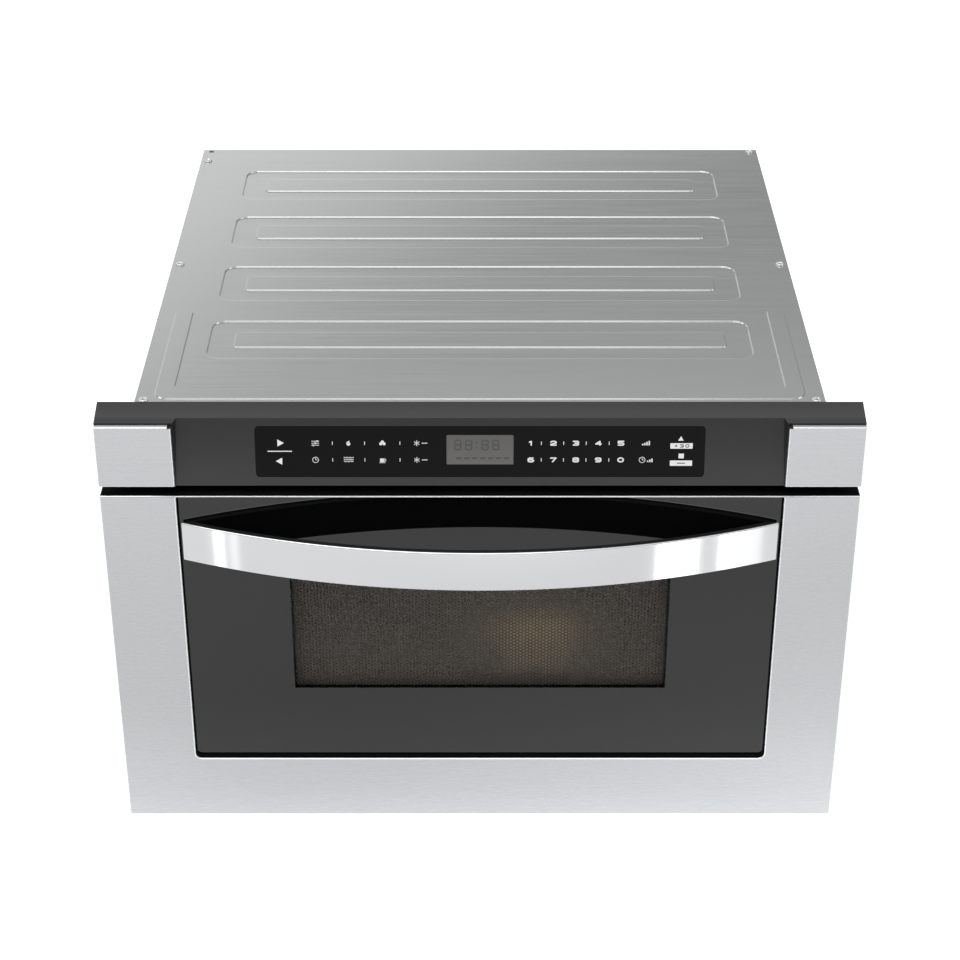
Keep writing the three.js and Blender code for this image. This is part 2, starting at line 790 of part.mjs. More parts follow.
function cavityShell() {
  const outside = extrude(centred(cavityWidth + 2 * cavitySheet, cavityFloor - cavitySheet, cavityRoof,
    cavityCorner + cavitySheet), casingFront, cavityBack + cavitySheet, 'y', 2);
  const inside = extrude(centred(cavityWidth, cavityFloor, cavityTop, cavityCorner),
    casingFront - 5, cavityBack, 'y', 2);
  const lip = extrude(centred(cavityWidth + 24, cavityFloor - 12, cavityTop + 12, cavityCorner + 12),
    casingFront, casingFront + cavitySheet, 'y', 2);
  const feed = rod('z', 0, stirrerSetback, cavityTop - 2, cavityRoof + 2, guideWidth / 2 - 8, 16);
  const vents = [];
  for (let row = 0; row < 2; row += 1) {
    for (let column = 0; column < 5; column += 1) {
      const x = -halfCavity + 30 + column * cavityVentPitch;
      const z = cavityTop - 60 + row * cavityVentPitch;
      vents.push(rod('y', x, z, cavityBack - 3, cavityBack + 3, cavityVentRadius, 6));
    }
  }
  for (let row = 0; row < 2; row += 1) {
    for (let column = 0; column < 3; column += 1) {
      vents.push(rod('z', lampX + (column - 1) * lampVentPitch, lampY + (row - 0.5) * lampVentPitch,
        cavityTop - 3, cavityRoof + 3, cavityVentRadius, 6));
    }
  }
  return cut(join(outside, lip), inside, feed, ...vents);
}

// Welded bracket under the rear of the cavity.
function cavitySupport() {
  const bottom = baseTop + seat;
  const top = cavityFloor - cavitySheet - seat;
  const y = cavityBack - supportSetback;
  const back = y + supportFlange;
  const web = y + supportSheet;
  const bracket = extrude(polygon([
    [y, bottom], [back, bottom], [back, bottom + supportSheet], [web, bottom + supportSheet],
    [web, top - supportSheet], [back, top - supportSheet], [back, top], [y, top],
  ]), -supportWidth / 2, supportWidth / 2, 'x');
  const lightening = [-1.5, -0.5, 0.5, 1.5].map((step) => rod('y', step * supportHolePitch, (bottom + top) / 2,
    y - 3, web + 3, supportHole, 10));
  return cut(bracket, ...lightening);
}

function stirrerCover() {
  const half = stirrerRadius + 16;
  const top = cavityTop - seat;
  const y = stirrerSetback;
  const dish = extrudeRounded(rectangle(-half, y - half, half, y + half, 18), top - stirrerWell, top + 4, 'z', 1.5, 2);
  const inner = half - 1.5;
  const hollow = extrude(rectangle(-inner, y - inner, inner, y + inner, 16.5), top - stirrerWell + 1.5, top + 6, 'z', 2);
  const trim = box(-half - 5, half + 5, y - half - 5, y + half + 5, top, top + 10);
  return cut(dish, hollow, trim);
}

// ---------------------------------------------------------------------------------------------
// Microwave generator, stirrer and cooling fan
// ---------------------------------------------------------------------------------------------

function waveguide() {
  const half = guideWidth / 2;
  const duct = box(-half, half, guideFront, guideBack, guideBottom, guideTop);
  const bore = box(-half + guideSheet, half - guideSheet, guideFront + guideSheet, guideBack - guideSheet,
    guideBottom + guideSheet, guideTop - guideSheet);
  const skirt = box(-half - 9, half + 9, guideFront - 9, cavityBack + 1, guideBottom, guideBottom + guideSheet);
  const feed = rod('z', 0, stirrerSetback, guideBottom - 2, guideBottom + 3, half - 8, 16);
  const motorBore = rod('z', 0, stirrerSetback, guideTop - 3, guideTop + 3, 5, 8);
  const antennaBore = rod('z', 0, magnetronCentre, guideBottom - 2, guideBottom + 3, 14, 12);
  return cut(join(duct, skirt), bore, feed, motorBore, antennaBore);
}

function stirrerMotor() {
  const bottom = guideTop + seat;
  const can = rod('z', 0, stirrerSetback, bottom, bottom + 16, 25, 18);
  const plate = extrude(rectangle(-34, stirrerSetback - 9, 34, stirrerSetback + 9, 8.9), bottom, bottom + 1.5, 'z', 1);
  const socket = rod('z', 0, stirrerSetback, bottom - 1, bottom + 8, 3.6 + seat, 8);
  return cut(join(can, plate), socket);
}

// Sheet-metal stirrer: hub, shaft and four bent vanes, drawn about its own axis.
function stirrerBlades() {
  const shaftTop = guideTop + 6 - (cavityTop - stirrerWell / 2);
  const parts = [rod('z', 0, 0, -4, shaftTop, 3.6, 8), rod('z', 0, 0, -4, 3, 12, 12)];
  for (let vane = 0; vane < 4; vane += 1) {
    const blade = new THREE.BoxGeometry(stirrerRadius - 8, 24, 1.2);
    blade.rotateX(0.32).translate((stirrerRadius - 8) / 2 + 8, 0, 0).rotateZ(vane * Math.PI / 2);
    parts.push(solidOf(blade));
  }
  return join(...parts);
}

function magnetronYoke() {
  const half = magnetronWidth / 2;
  const halfDepth = magnetronDepth / 2;
  const top = guideBottom - seat;
  const bottom = top - magnetronHeight;
  const frame = extrude(withHoles(rectangle(-half, bottom, half, top),
    rectangle(-half + 2, bottom + 2, half - 2, top - 2)),
  magnetronCentre - halfDepth, magnetronCentre + halfDepth, 'y');
  const magnets = [
    rod('z', 0, magnetronCentre, bottom + 1, bottom + 15, 27, 12),
    rod('z', 0, magnetronCentre, top - 15, top - 1, 27, 12),
  ];
  const filterBox = box(-30, 30, magnetronCentre - halfDepth, magnetronCentre + halfDepth, bottom - 34, bottom + 1);
  const ports = [
    rod('z', 0, magnetronCentre, bottom + 3, top + 3, 12, 10),
    rod('z', 0, magnetronCentre, bottom + 3, bottom + 20, 12, 10),
  ];
  return cut(join(frame, ...magnets, filterBox), ...ports);
}

function magnetronAnode() {
  const top = guideBottom - seat;
  const bottom = top - magnetronHeight;
  const lower = bottom + 15 + seat;
  const upper = top - 15 - seat;
  const half = magnetronWidth / 2 - 2 - seat;
  const parts = [
    rod('z', 0, magnetronCentre, lower, upper, 20, 12),
    rod('z', 0, magnetronCentre, bottom + 8, top + 22, 9, 10),
  ];
  for (let fin = 0; fin < finCount; fin += 1) {
    const z = lower + 4 + (upper - lower - 9) * fin / (finCount - 1);
    parts.push(box(-half, half, magnetronCentre - 34, magnetronCentre + 34, z, z + 1));
  }
  return join(...parts);
}

function fanFrame() {
  const half = fanSize / 2;
  const back = rearInside - seat;
  const front = back - fanDepth;
  const bore = half - 4;
  const ring = extrude(withHoles(rectangle(fanX - half, fanZ - half, fanX + half, fanZ + half, 6),
    disc(fanX, fanZ, bore)), front, back, 'y', 3);
  const hub = rod('y', fanX, fanZ, front, front + fanHubDepth, fanHubRadius, 14);
  const struts = [
    box(fanX - bore - 1, fanX + bore + 1, front, front + 5, fanZ - 3, fanZ + 3),
    box(fanX - 3, fanX + 3, front, front + 5, fanZ - bore - 1, fanZ + bore + 1),
  ];
  const axle = rod('y', fanX, fanZ, front + 6, front + fanHubDepth + 4, fanAxleRadius + seat, 8);
  return cut(join(ring, hub, ...struts), axle);
}

// Rotor drawn about its own axis, which runs along y: hub, axle and twisted blades.
function fanRotor() {
  const tip = fanSize / 2 - 6;
  const length = fanDepth - fanHubDepth - 4;
  const parts = [rod('y', 0, 0, 0, length, fanHubRadius, 14), rod('y', 0, 0, -9, 2, fanAxleRadius, 8)];
  const rootRadius = fanHubRadius - 3;
  for (let index = 0; index < fanBlades; index += 1) {
    const blade = new THREE.BoxGeometry(1.8, 20, tip - rootRadius, 1, 1, 2);
    const position = blade.attributes.position;
    for (let i = 0; i < position.count; i += 1) {
      const along = position.getZ(i) / (tip - rootRadius) + 0.5;
      const turn = 0.85 - 0.35 * along;
      const x = position.getX(i);
      const y = position.getY(i) * 0.9;
      position.setX(i, x * Math.cos(turn) - y * Math.sin(turn));
      position.setY(i, x * Math.sin(turn) + y * Math.cos(turn));
    }
    blade.translate(0, length / 2, (tip + rootRadius) / 2).rotateY(index * 2 * Math.PI / fanBlades);
    parts.push(solidOf(blade));
  }
  return join(...parts);
}

// ---------------------------------------------------------------------------------------------
// Power parts in the rear compartment
// ---------------------------------------------------------------------------------------------

const transformerY = (cavityBack + rearInside) / 2;
const coreLeg = coreWidth * 0.3;
const coreWindow = coreWidth * 0.2;
const coreYoke = coreWidth * 0.15;

function transformerCore() {
  const bottom = baseTop + seat;
  const top = bottom + coreHeight;
  const windows = [-1, 1].map((side) => {
    const near = side * coreLeg / 2;
    const far = side * (coreLeg / 2 + coreWindow);
    return rectangle(transformerX + Math.min(near, far), bottom + coreYoke,
      transformerX + Math.max(near, far), top - coreYoke);
  });
  const profile = rectangle(transformerX - coreWidth / 2, bottom, transformerX + coreWidth / 2, top, 2);
  const stack = extrude(withHoles(profile, ...windows),
    transformerY - coreStack / 2, transformerY + coreStack / 2, 'y', 1);
  const foot = box(transformerX - coreWidth / 2 - 12, transformerX + coreWidth / 2 + 12,
    transformerY - coreStack / 2, transformerY + coreStack / 2, bottom, bottom + 2);
  return join(stack, foot);
}

function winding(level) {
  const bottom = baseTop + seat + coreYoke + seat;
  const space = coreHeight - 2 * coreYoke - 3 * seat;
  const height = space / 2;
  const from = bottom + level * (height + seat);
  const innerX = coreLeg / 2 + seat;
  const outerX = coreLeg / 2 + coreWindow - seat;
  const innerY = coreStack / 2 + seat;
  const outerY = innerY + (outerX - innerX);
  const centre = (x, y, radius) => rectangle(transformerX - x, transformerY - y, transformerX + x, transformerY + y, radius);
  return extrude(withHoles(centre(outerX, outerY, 9), centre(innerX, innerY, 0)), from, from + height - seat, 'z', 2);
}

function capacitor() {
  const bottom = baseTop + seat;
  const can = (grow) => rectangle(capacitorX - capacitorWidth / 2 - grow, transformerY - capacitorDepth / 2 - grow,
    capacitorX + capacitorWidth / 2 + grow, transformerY + capacitorDepth / 2 + grow, capacitorDepth * 0.49 + grow);
  const top = bottom + capacitorHeight;
  const tabs = [-1, 1].map((side) => {
    const x = capacitorX + side * capacitorWidth / 5;
    return box(x - 3, x + 3, transformerY - 0.5, transformerY + 0.5, top - 1, top + 12);
  });
  const strap = extrude(can(2), bottom + capacitorHeight / 3, bottom + capacitorHeight / 2, 'z', 2);
  const edge = capacitorX - capacitorWidth / 2;
  const riser = box(edge - 3, edge + 1, transformerY - 9, transformerY + 9, bottom, bottom + capacitorHeight * 0.45);
  const foot = box(edge - 13, edge + 3, transformerY - 9, transformerY + 9, bottom, bottom + 1.5);
  return join(extrude(can(0), bottom, top, 'z', 2), strap, foot, riser, ...tabs);
}

function filterBoard() {
  const face = rearInside - seat - filterStandoff - boardSheet;
  const right = filterLeft + filterWidth;
  const top = filterSill + filterHeight;
  const board = box(filterLeft, right, face, face + boardSheet, filterSill, top);
  const inset = 6;
  const standoffs = [filterLeft + inset, right - inset].flatMap((x) => [filterSill + inset, top - inset]
    .map((z) => rod('y', x, z, face + 0.6, rearInside - seat, inset / 2, 6)));
  const coil = rod('y', filterLeft + filterWidth * 0.28, filterSill + filterHeight * 0.56,
    face - filterCoilLength, face + 0.6, filterCoilRadius, 12);
  const fuseZ = filterSill + fuseRadius * 4;
  const fuseX = filterLeft + filterWidth / 2;
  const fuse = rod('x', face - fuseRadius - 1, fuseZ, fuseX, fuseX + fuseLength, fuseRadius, 8);
  const fuseBase = box(fuseX, fuseX + fuseLength, face - fuseRadius - 1, face + 0.6, fuseZ - 3, fuseZ + 3);
  const suppressor = box(fuseX + 8, fuseX + 8 + suppressorWidth, face - suppressorDepth, face + 0.6,
    top - filterHeight * 0.56, top - filterHeight * 0.56 + suppressorDepth);
  return join(board, ...standoffs, coil, fuse, fuseBase, suppressor);
}

function lampHolder() {
  const bottom = guideBottom;
  const half = lampHoodWidth / 2;
  const halfDepth = lampHoodDepth / 2;
  const plate = box(lampX - half - 4, lampX + half + 4, lampY - halfDepth - 2, lampY + halfDepth + 2, bottom, bottom + 1);
  const hood = box(lampX - half, lampX + half, lampY - halfDepth, lampY + halfDepth, bottom, bottom + lampHoodHeight);
  const hollow = box(lampX - half + 1, lampX + half + 1, lampY - halfDepth + 1, lampY + halfDepth - 1,
    bottom - 1, bottom + lampHoodHeight - 1);
  const neck = lampX - half - 12;
  const socket = rod('x', lampY, lampHeight, neck, neck + 16, lampBase + 4, 12);
  const bore = rod('x', lampY, lampHeight, neck + 8, neck + 20, lampBase + seat, 12);
  return cut(join(cut(join(plate, hood), hollow), socket), bore);
}

function ovenLamp() {
  const points = [
    [0, 0], [lampBase, 0], [lampBase, lampLength * 0.34], [lampBase - 2, lampLength * 0.41],
    [lampBulb - 0.5, lampLength * 0.63], [lampBulb, lampLength * 0.76], [lampBulb - 3, lampLength * 0.93],
    [0, lampLength],
  ].map(([r, h]) => new THREE.Vector2(r, h));
  const bulb = new THREE.LatheGeometry(points, 12).rotateZ(-Math.PI / 2);
  return solidOf(bulb.translate(lampX - lampHoodWidth / 2 - 4 + seat, lampY, lampHeight));
}

// ---------------------------------------------------------------------------------------------
// Slides, drawer arms, racks and drive
// ---------------------------------------------------------------------------------------------

const outerHalf = slideHeight / 2;
const ballGap = 2 * ballRadius + seat;                 // between two nested members
const middleHalf = outerHalf - slideSheet - ballGap;
const innerHalf = middleHalf - slideSheet - ballGap;
const middleBack = slideSheet + 1.4;                   // middle member's web behind the outer face
const innerMouth = middleBack + slideSheet + 1.4;

// A channel on its side: its web is at the near depth and its flanges run to the far depth.
function channel(half, near, far, from, to) {
  const x = (depth) => slideOuterFace - depth;
  const web = near < far ? near + slideSheet : near - slideSheet;
  const z = (rise) => slideCentre + rise;
  const points = [
    [x(near), z(-half)], [x(near), z(half)], [x(far), z(half)], [x(far), z(half - slideSheet)],
    [x(web), z(half - slideSheet)], [x(web), z(slideSheet - half)],
    [x(far), z(slideSheet - half)], [x(far), z(-half)],
  ];
  return extrude(polygon(points), from, to, 'y');
}

function slotRow(setbacks, length, height) {
  return setbacks.map((y) => extrude(rectangle(y - length / 2, slideCentre - height / 2, y + length / 2,
    slideCentre + height / 2, height * 0.49), slideInnerFace - 5, slideOuterFace + 5, 'x', 1));
}

function slideOuter() {
  const profile = channel(outerHalf, 0, slideWidth - 2.4, slideFront, slideBack);
  const places = [slideFront + slideBoreInset, (slideFront + slideBack) / 2, slideBack - slideBoreInset];
  return cut(profile, ...slotRow(places, slideBoreLength, slideBoreHeight));
}

// Balls in a retainer strip, pressed on the outside or the inside of a flange.
function ballRow(face, up, depth, from) {
  const x = slideOuterFace - depth;
  const strip = face + up * 0.5;
  const pitch = (slideLength / 2 - 40) / (ballsPerRow - 1);
  const parts = [box(x - 2.4, x + 2.4, from - 6, from + pitch * (ballsPerRow - 1) + 6,
    Math.min(strip - 0.6, strip + 0.6), Math.max(strip - 0.6, strip + 0.6))];
  for (let ball = 0; ball < ballsPerRow; ball += 1) {
    const sphere = new THREE.SphereGeometry(ballRadius, 6, 3).rotateX(Math.PI / 2);
    parts.push(solidOf(sphere.translate(x, from + ball * pitch, face + up * ballRadius)));
  }
  return join(...parts);
}

function slideMiddle() {
  const profile = channel(middleHalf, middleBack, slideWidth - 2, slideFront, slideBack);
  const rear = slideFront + slideLength / 2 + 20;
  const front = slideFront + 20;
  const outerDepth = (middleBack + slideWidth) / 2 - 1;
  const innerDepth = (innerMouth + slideWidth) / 2;
  const rows = [];
  for (const up of [-1, 1]) {
    rows.push(ballRow(slideCentre + up * middleHalf, up, outerDepth, rear));
    rows.push(ballRow(slideCentre + up * (middleHalf - slideSheet), -up, innerDepth, front));
  }
  const places = [1, 3].map((quarter) => slideFront + slideLength * quarter / 4);
  return cut(join(profile, ...rows), ...slotRow(places, slideWindowLength, slideWindowHeight));
}

function slideInner() {
  const profile = channel(innerHalf, slideWidth, innerMouth, slideFront, slideBack);
  const places = [slideFront + slideTabInset, slideFront + slideLength * 0.45, slideBack - 2 * slideTabInset];
  return cut(profile, ...slotRow(places, slideTabLength, slideTabHeight));
}

function railBracket() {
  const web = slideOuterFace + seat;
  const bottom = baseTop + seat + casingSheet + seat;
  const top = slideCentre + outerHalf + 6;
  const wall = sideInside - seat;
  const sheet = 1.5;
  const profile = polygon([
    [web, bottom], [wall, bottom], [wall, bottom + sheet], [web + sheet, bottom + sheet],
    [web + sheet, top - sheet], [wall, top - sheet], [wall, top], [web, top],
  ]);
  const windows = [1, 2, 3].map((step) => {
    const y = slideFront + slideLength * step / 4;
    return extrude(rectangle(y - 26, bottom + 8, y + 26, bottom + 22, 5), web - 3, web + 4, 'x');
  });
  return cut(extrude(profile, casingFront, slideBack + 12, 'y'), ...windows);
}

const armFront = doorBackRear + seat;
const armBack = slideBack + 2;
const armFlange = 20;

function drawerArm() {
  const inside = armOuter - armFlange;
  const profile = polygon([
    [armOuter, armBottom], [armOuter, armTop], [inside, armTop], [inside, armTop - armSheet],
    [armInner, armTop - armSheet], [armInner, armBottom],
  ]);
  const foot = box(inside, armOuter, armFront, armFront + armSheet, armBottom, armTop);
  const chokeRoom = box(0, chokeOuter + seat, armFront - 1, frontDepth, chokeBottom - seat, cavityTop);
  const lightening = [1, 2, 3, 4, 5].map((step) => {
    const y = armFront + (armBack - armFront) * step / 6;
    return extrude(rectangle(y - 24, armTop - 16, y + 24, armTop - 7, 4.4), armInner - 2, armOuter + 2, 'x');
  });
  return cut(join(extrude(profile, armFront, armBack, 'y'), foot), chokeRoom, ...lightening);
}

// The rack's first tooth stands just in front of the shaft when the drawer is shut.
const teethAhead = 2;

function rack() {
  const geometry = extrude(rackProfile(-teethAhead, rackTeeth - teethAhead - 1), rackInner, rackOuter, 'x');
  return geometry;
}

// Cross shaft with a pinion at each end and the driven gear, drawn about its own axis along x.
function crossShaft() {
  const pinion = gearProfile(pinionTeeth, toothModule, Math.PI / 2, true);
  const driven = gearProfile(shaftGearTeeth, trainModule, 0, false);
  const pinions = [-1, 1].map((side) => {
    const near = side * (rackInner + 0.2);
    const far = side * (rackOuter - 0.2);
    return extrude(pinion, Math.min(near, far), Math.max(near, far), 'x');
  });
  const shaft = rod('x', 0, 0, -rackOuter + 0.2, rackOuter - 0.2, shaftRadius, 10);
  return join(shaft, ...pinions, extrude(driven, trainOffset, trainOffset + trainWidth, 'x'));
}

const motorFace = trainOffset + trainWidth + 3;

// Motor gear with its own short shaft, drawn about its own axis along x.
function motorPinion() {
  const profile = gearProfile(motorGearTeeth, trainModule, Math.PI, true);
  const gear = extrude(profile, trainOffset, trainOffset + trainWidth, 'x');
  return join(gear, rod('x', 0, 0, trainOffset - 2, motorFace + 12, motorShaftRadius, 8));
}

function upright(x0, x1, y, width, z, bore) {
  const foot = baseTop + seat;
  const shape = new THREE.Shape();
  shape.moveTo(y - width / 2, foot);
  shape.lineTo(y + width / 2, foot);
  shape.lineTo(y + bore + 5, z);
  shape.absarc(y, z, bore + 5, 0, Math.PI, false);
  shape.lineTo(y - width / 2, foot);
  return extrude(withHoles(shape, disc(y, z, bore)), x0, x1, 'x', 2);
}

// One folded carrier on the base: a bearing upright by each pinion and the motor plate.
function driveCarrier() {
  const foot = baseTop + seat;
  const inner = rackInner - 4;
  const rail = box(-inner, inner, shaftSetback - 9, shaftSetback + 9, foot, foot + 1.5);
  const bearings = [-1, 1].map((side) => {
    const near = side * (inner - 6);
    const far = side * inner;
    return upright(Math.min(near, far), Math.max(near, far), shaftSetback, 30, shaftHeight, shaftRadius + seat);
  });
  const plateX = motorFace - 2;
  const plate = extrude(withHoles(rectangle(shaftSetback - 9, foot, motorSetback + 22, shaftHeight + 24, 3),
    disc(shaftSetback, shaftHeight, shaftRadius + seat + 1), disc(motorSetback, shaftHeight, 4)),
  plateX, plateX + 2, 'x', 1);
  const gearRoom = rod('x', shaftSetback, shaftHeight, trainOffset - 2, trainOffset + trainWidth + 0.8,
    shaftGearRadius + trainModule + 1, 16);
  return cut(join(rail, ...bearings, plate), gearRoom);
}

function drawerMotor() {
  const from = motorFace + seat;
  const half = gearboxSize / 2;
  const gearbox = extrudeRounded(rectangle(motorSetback - half, shaftHeight - half, motorSetback + half,
    shaftHeight + half, gearboxCorner), from, from + gearboxDepth, 'x', 1.2);
  const can = rod('x', motorSetback, shaftHeight, from + gearboxDepth - 2, from + motorLength, motorRadius, 16);
  const cap = rod('x', motorSetback, shaftHeight, from + motorLength - 1, from + motorLength + 4, motorBoss, 10);
  const bore = rod('x', motorSetback, shaftHeight, from - 1, from + 14, motorShaftRadius + seat, 8);
  return cut(join(gearbox, can, cap), bore);
}

// ---------------------------------------------------------------------------------------------
// Latch hooks and interlock switches
// ---------------------------------------------------------------------------------------------

function latchHook() {
  const front = doorBackRear + seat;
  const shape = new THREE.Shape();
  shape.moveTo(front, latchZ - 10);
  shape.lineTo(front + 3, latchZ - 10);
  shape.lineTo(front + 3, latchZ - 4);
  shape.lineTo(front + 26, latchZ - 4);
  shape.lineTo(front + 28, latchZ + 5);
  shape.lineTo(front + 21, latchZ + 5);
  shape.lineTo(front + 20, latchZ + 1);
  shape.lineTo(front + 3, latchZ + 2);
  shape.lineTo(front + 3, latchZ + 8);
  shape.lineTo(front, latchZ + 8);
  return extrude(shape, latchX - 2, latchX + 2, 'x');
}

function interlock() {
  const front = casingFront;
  const outer = latchX + 9;
  const bottom = latchZ - interlockDrop;
  const wall = box(latchX - 12, outer, front, front + 1.5, bottom, latchZ - switchDepth + 10);
  const arm = box(outer - interlockSheet, outer, front, front + interlockReach, bottom, latchZ + 22);
  const back = front + interlockReach - 3;
  const face = back - switchDepth;
  const button = latchX - 1;
  const switches = [0, 1].map((level) => {
    const z = latchZ - 17 + level * switchPitch;
    return join(
      box(outer - 1 - switchWidth, outer - 1, face, back, z, z + switchHeight),
      box(button, button + 3, face - switchButton, face + 2, z + 6, z + 9),
    );
  });
  return join(wall, arm, ...switches);
}

// ---------------------------------------------------------------------------------------------
// Drawer front
// ---------------------------------------------------------------------------------------------

function windowOutline(grow) {
  const half = windowWidth / 2 + grow;
  return rectangle(-half, windowSill - grow, half, windowTop + Math.min(grow, topRail - 0.6),
    windowCorner + grow, 0.5);
}

function drawerFrontFrame() {
  const outline = centred(frontWidth, 0, drawerFrontHeight, foldRadius + 0.2);
  const depth = frontDepth - 5;
  const block = extrudeRounded(outline, 0, depth + 6, 'y', foldRadius, 1, 2);
  const trim = box(-frontWidth, frontWidth, depth, depth + 20, -20, drawerFrontHeight + 20);
  const opening = extrude(windowOutline(0), -5, depth + 20, 'y', 2);
  const chamfer = extrude(windowOutline(0.4), -5, 0.4, 'y', 2);
  const ring = withHoles(centred(frontWidth - 2 * frontSheet, frontSheet, drawerFrontHeight - frontSheet),
    windowOutline(frontSheet));
  const hollow = extrude(ring, frontSheet, depth + 20, 'y', 2);
  const half = windowWidth / 2 + glassLap + seat;
  const glassRoom = box(-half, half, glassSetback, depth + 20, windowSill - glassLap - seat,
    drawerFrontHeight - frontSheet);
  return cut(block, trim, opening, chamfer, hollow, glassRoom);
}

function doorGlass() {
  const half = windowWidth / 2 + glassLap;
  return extrude(rectangle(-half, windowSill - glassLap, half, glassTop, 4, 1), glassFront, glassBack, 'y');
}

// Pan with the perforated microwave screen: its rim spaces the glass off the door back.
function rfScreen() {
  const half = windowWidth / 2 + glassLap - 3;
  const bottom = windowSill - glassLap + 3;
  const top = glassTop - 3;
  const outline = rectangle(-half, bottom, half, top, 4);
  const inner = rectangle(-half + 1, bottom + 1, half - 1, top - 1, 3);
  const rim = extrude(withHoles(outline, inner), screenFront, doorBackFront - seat, 'y');
  const sheetFront = screenFront + 1.6;
  const plate = extrude(rectangle(-half + 0.5, bottom + 0.5, half - 0.5, top - 0.5, 3.5),
    sheetFront, sheetFront + screenSheet, 'y');
  const dish = extrudeRounded(centred(screenWidth + 14, screenSill - 7, screenTop + 7, 8),
    sheetFront - 0.8, sheetFront + 3.4, 'y', 0.6);
  const pocket = extrude(centred(screenWidth + 10, screenSill - 5, screenTop + 5, 6),
    sheetFront, sheetFront + 10, 'y');
  const clear = box(-half, half, sheetFront + screenSheet, sheetFront + 20, bottom, top);
  return join(rim, cut(join(plate, cut(dish, clear)), pocket));
}

function doorBackPanel() {
  const half = halfFront - 7;
  const plate = extrude(rectangle(-half, 6, half, drawerFrontHeight - 6, 3), doorBackFront, doorBackRear, 'y');
  const plug = extrude(centred(plugWidth, plugBottom, plugTop, cavityCorner - plugClearance),
    doorBackRear - 0.5, plugRear, 'y', 2);
  const hollow = extrude(centred(plugWidth - 2 * doorSheet, plugBottom + doorSheet, plugTop - doorSheet,
    cavityCorner - plugClearance - doorSheet), doorBackFront - 5, plugRear - doorSheet, 'y', 2);
  const view = extrude(centred(screenWidth, screenSill, screenTop, 5), doorBackFront - 5,
    plugRear + 5, 'y');
  return cut(join(plate, plug), hollow, view);
}

function innerWindow() {
  const rear = plugRear - doorSheet - seat;
  return extrude(centred(screenWidth + 14, screenSill - 7, screenTop + 7, 6), rear - 3, rear, 'y');
}

// Choke cover round the plug, slotted into fingers like the comb of a microwave seal.
function chokeRing() {
  const inner = plugWidth / 2 + seat;
  const bottom = plugBottom - seat;
  const top = plugTop + seat;
  const front = doorBackRear + seat;
  const rear = frontDepth - seat;
  const corner = cavityCorner - plugClearance;
  const ring = extrude(withHoles(centred(2 * chokeOuter, chokeBottom, top + chokeBand, 10),
    rectangle(-inner, bottom, inner, top, corner)), front, rear, 'y', 2);
  const slots = [];
  for (let finger = 0; finger < chokeFingers; finger += 1) {
    const x = (finger - (chokeFingers - 1) / 2) * (2 * inner / chokeFingers);
    for (const z of [bottom - chokeBand / 2, top + chokeBand / 2]) {
      slots.push(box(x - 12, x + 12, rear - 1.4, rear + 5, z - 5, z + 5));
    }
  }
  return cut(ring, ...slots);
}

// Tub without a front wall: the door's plug closes it.
function drawerTub() {
  const half = tubWidth / 2;
  const corner = tubCorner;
  const top = tubBottom + tubHeight;
  const shell = extrude(rectangle(-half, tubFront, half, tubBack, 0.5, corner), tubBottom, top, 'z', 2);
  const hollow = extrude(rectangle(-half + tubWall, tubFront - 20, half - tubWall, tubBack - tubWall, 0,
    corner - tubWall), tubBottom + tubWall, top + 5, 'z', 2);
  const lip = extrude(withHoles(rectangle(-half - 2, tubFront, half + 2, tubBack + 2, 0.5, corner + 2),
    rectangle(-half + 0.5, tubFront - 5, half - 0.5, tubBack - 0.5, 0, corner - 0.5)), top - 1.2, top, 'z', 2);
  const mouth = box(-half - 10, half + 10, tubFront - 20, tubFront, tubBottom - 10, top + 10);
  const sill = box(-half + 0.5, half - 0.5, tubFront, tubFront + tubWall, tubBottom, tubBottom + tubSill);
  return join(cut(join(shell, lip), hollow, mouth), sill);
}

function ceramicTray() {
  const half = tubWidth / 2 - tubWall - 2;
  const bottom = tubBottom + tubWall + seat;
  return extrudeRounded(rectangle(-half, tubFront + tubWall + 2, half, tubBack - tubWall - 2, 12),
    bottom, bottom + trayThickness, 'z', 1.2);
}

// ---------------------------------------------------------------------------------------------
// Handle
// ---------------------------------------------------------------------------------------------

// Plan radius of the bar's front face from its span and its reach.
const handleRadius = (handleSpan ** 2 / 4 + handleReach ** 2) / (2 * handleReach);
const handleCentre = handleRadius - handleReach;

function bowedBand(outer, thickness, span) {
  const inner = outer - thickness;
  const outerAngle = Math.asin(span / 2 / outer);
  const innerAngle = Math.asin(span / 2 / inner);
  const down = -Math.PI / 2;
  const shape = new THREE.Shape();
  shape.absarc(0, handleCentre, outer, down - outerAngle, down + outerAngle, false);
  shape.absarc(0, handleCentre, inner, down + innerAngle, down - innerAngle, true);
  return shape;
}

function handleBar() {
  return extrudeRounded(bowedBand(handleRadius, handleBarThickness, handleSpan), handleSill,
    handleSill + handleHeight, 'z', 1.1, 12);
}

function handleBacking() {
  const outer = handleRadius - handleBarThickness - seat;
  const band = extrude(bowedBand(outer, handleBackingThickness, handleSpan - 4), handleSill + 1.5,
    handleSill + handleHeight - 1.5, 'z', 12);
  const half = handleSpan / 2 - 2;
  const feet = [-1, 1].map((side) => {
    const near = side * (half - handleFootWidth);
    const far = side * half;
    const block = box(Math.min(near, far), Math.max(near, far), -10, glassFront - seat,
      handleSill + 2, handleSill + handleHeight + handleFootRise);
    return block;
  });
  const barRoom = extrude(bowedBand(handleRadius + 40, handleBarThickness + 40 + seat, handleSpan + 60),
    handleSill - 20, handleSill + handleHeight + 20, 'z', 12);
  return join(band, ...feet.map((foot) => cut(foot, barRoom)));
}

// ---------------------------------------------------------------------------------------------
// Control panel
// ---------------------------------------------------------------------------------------------

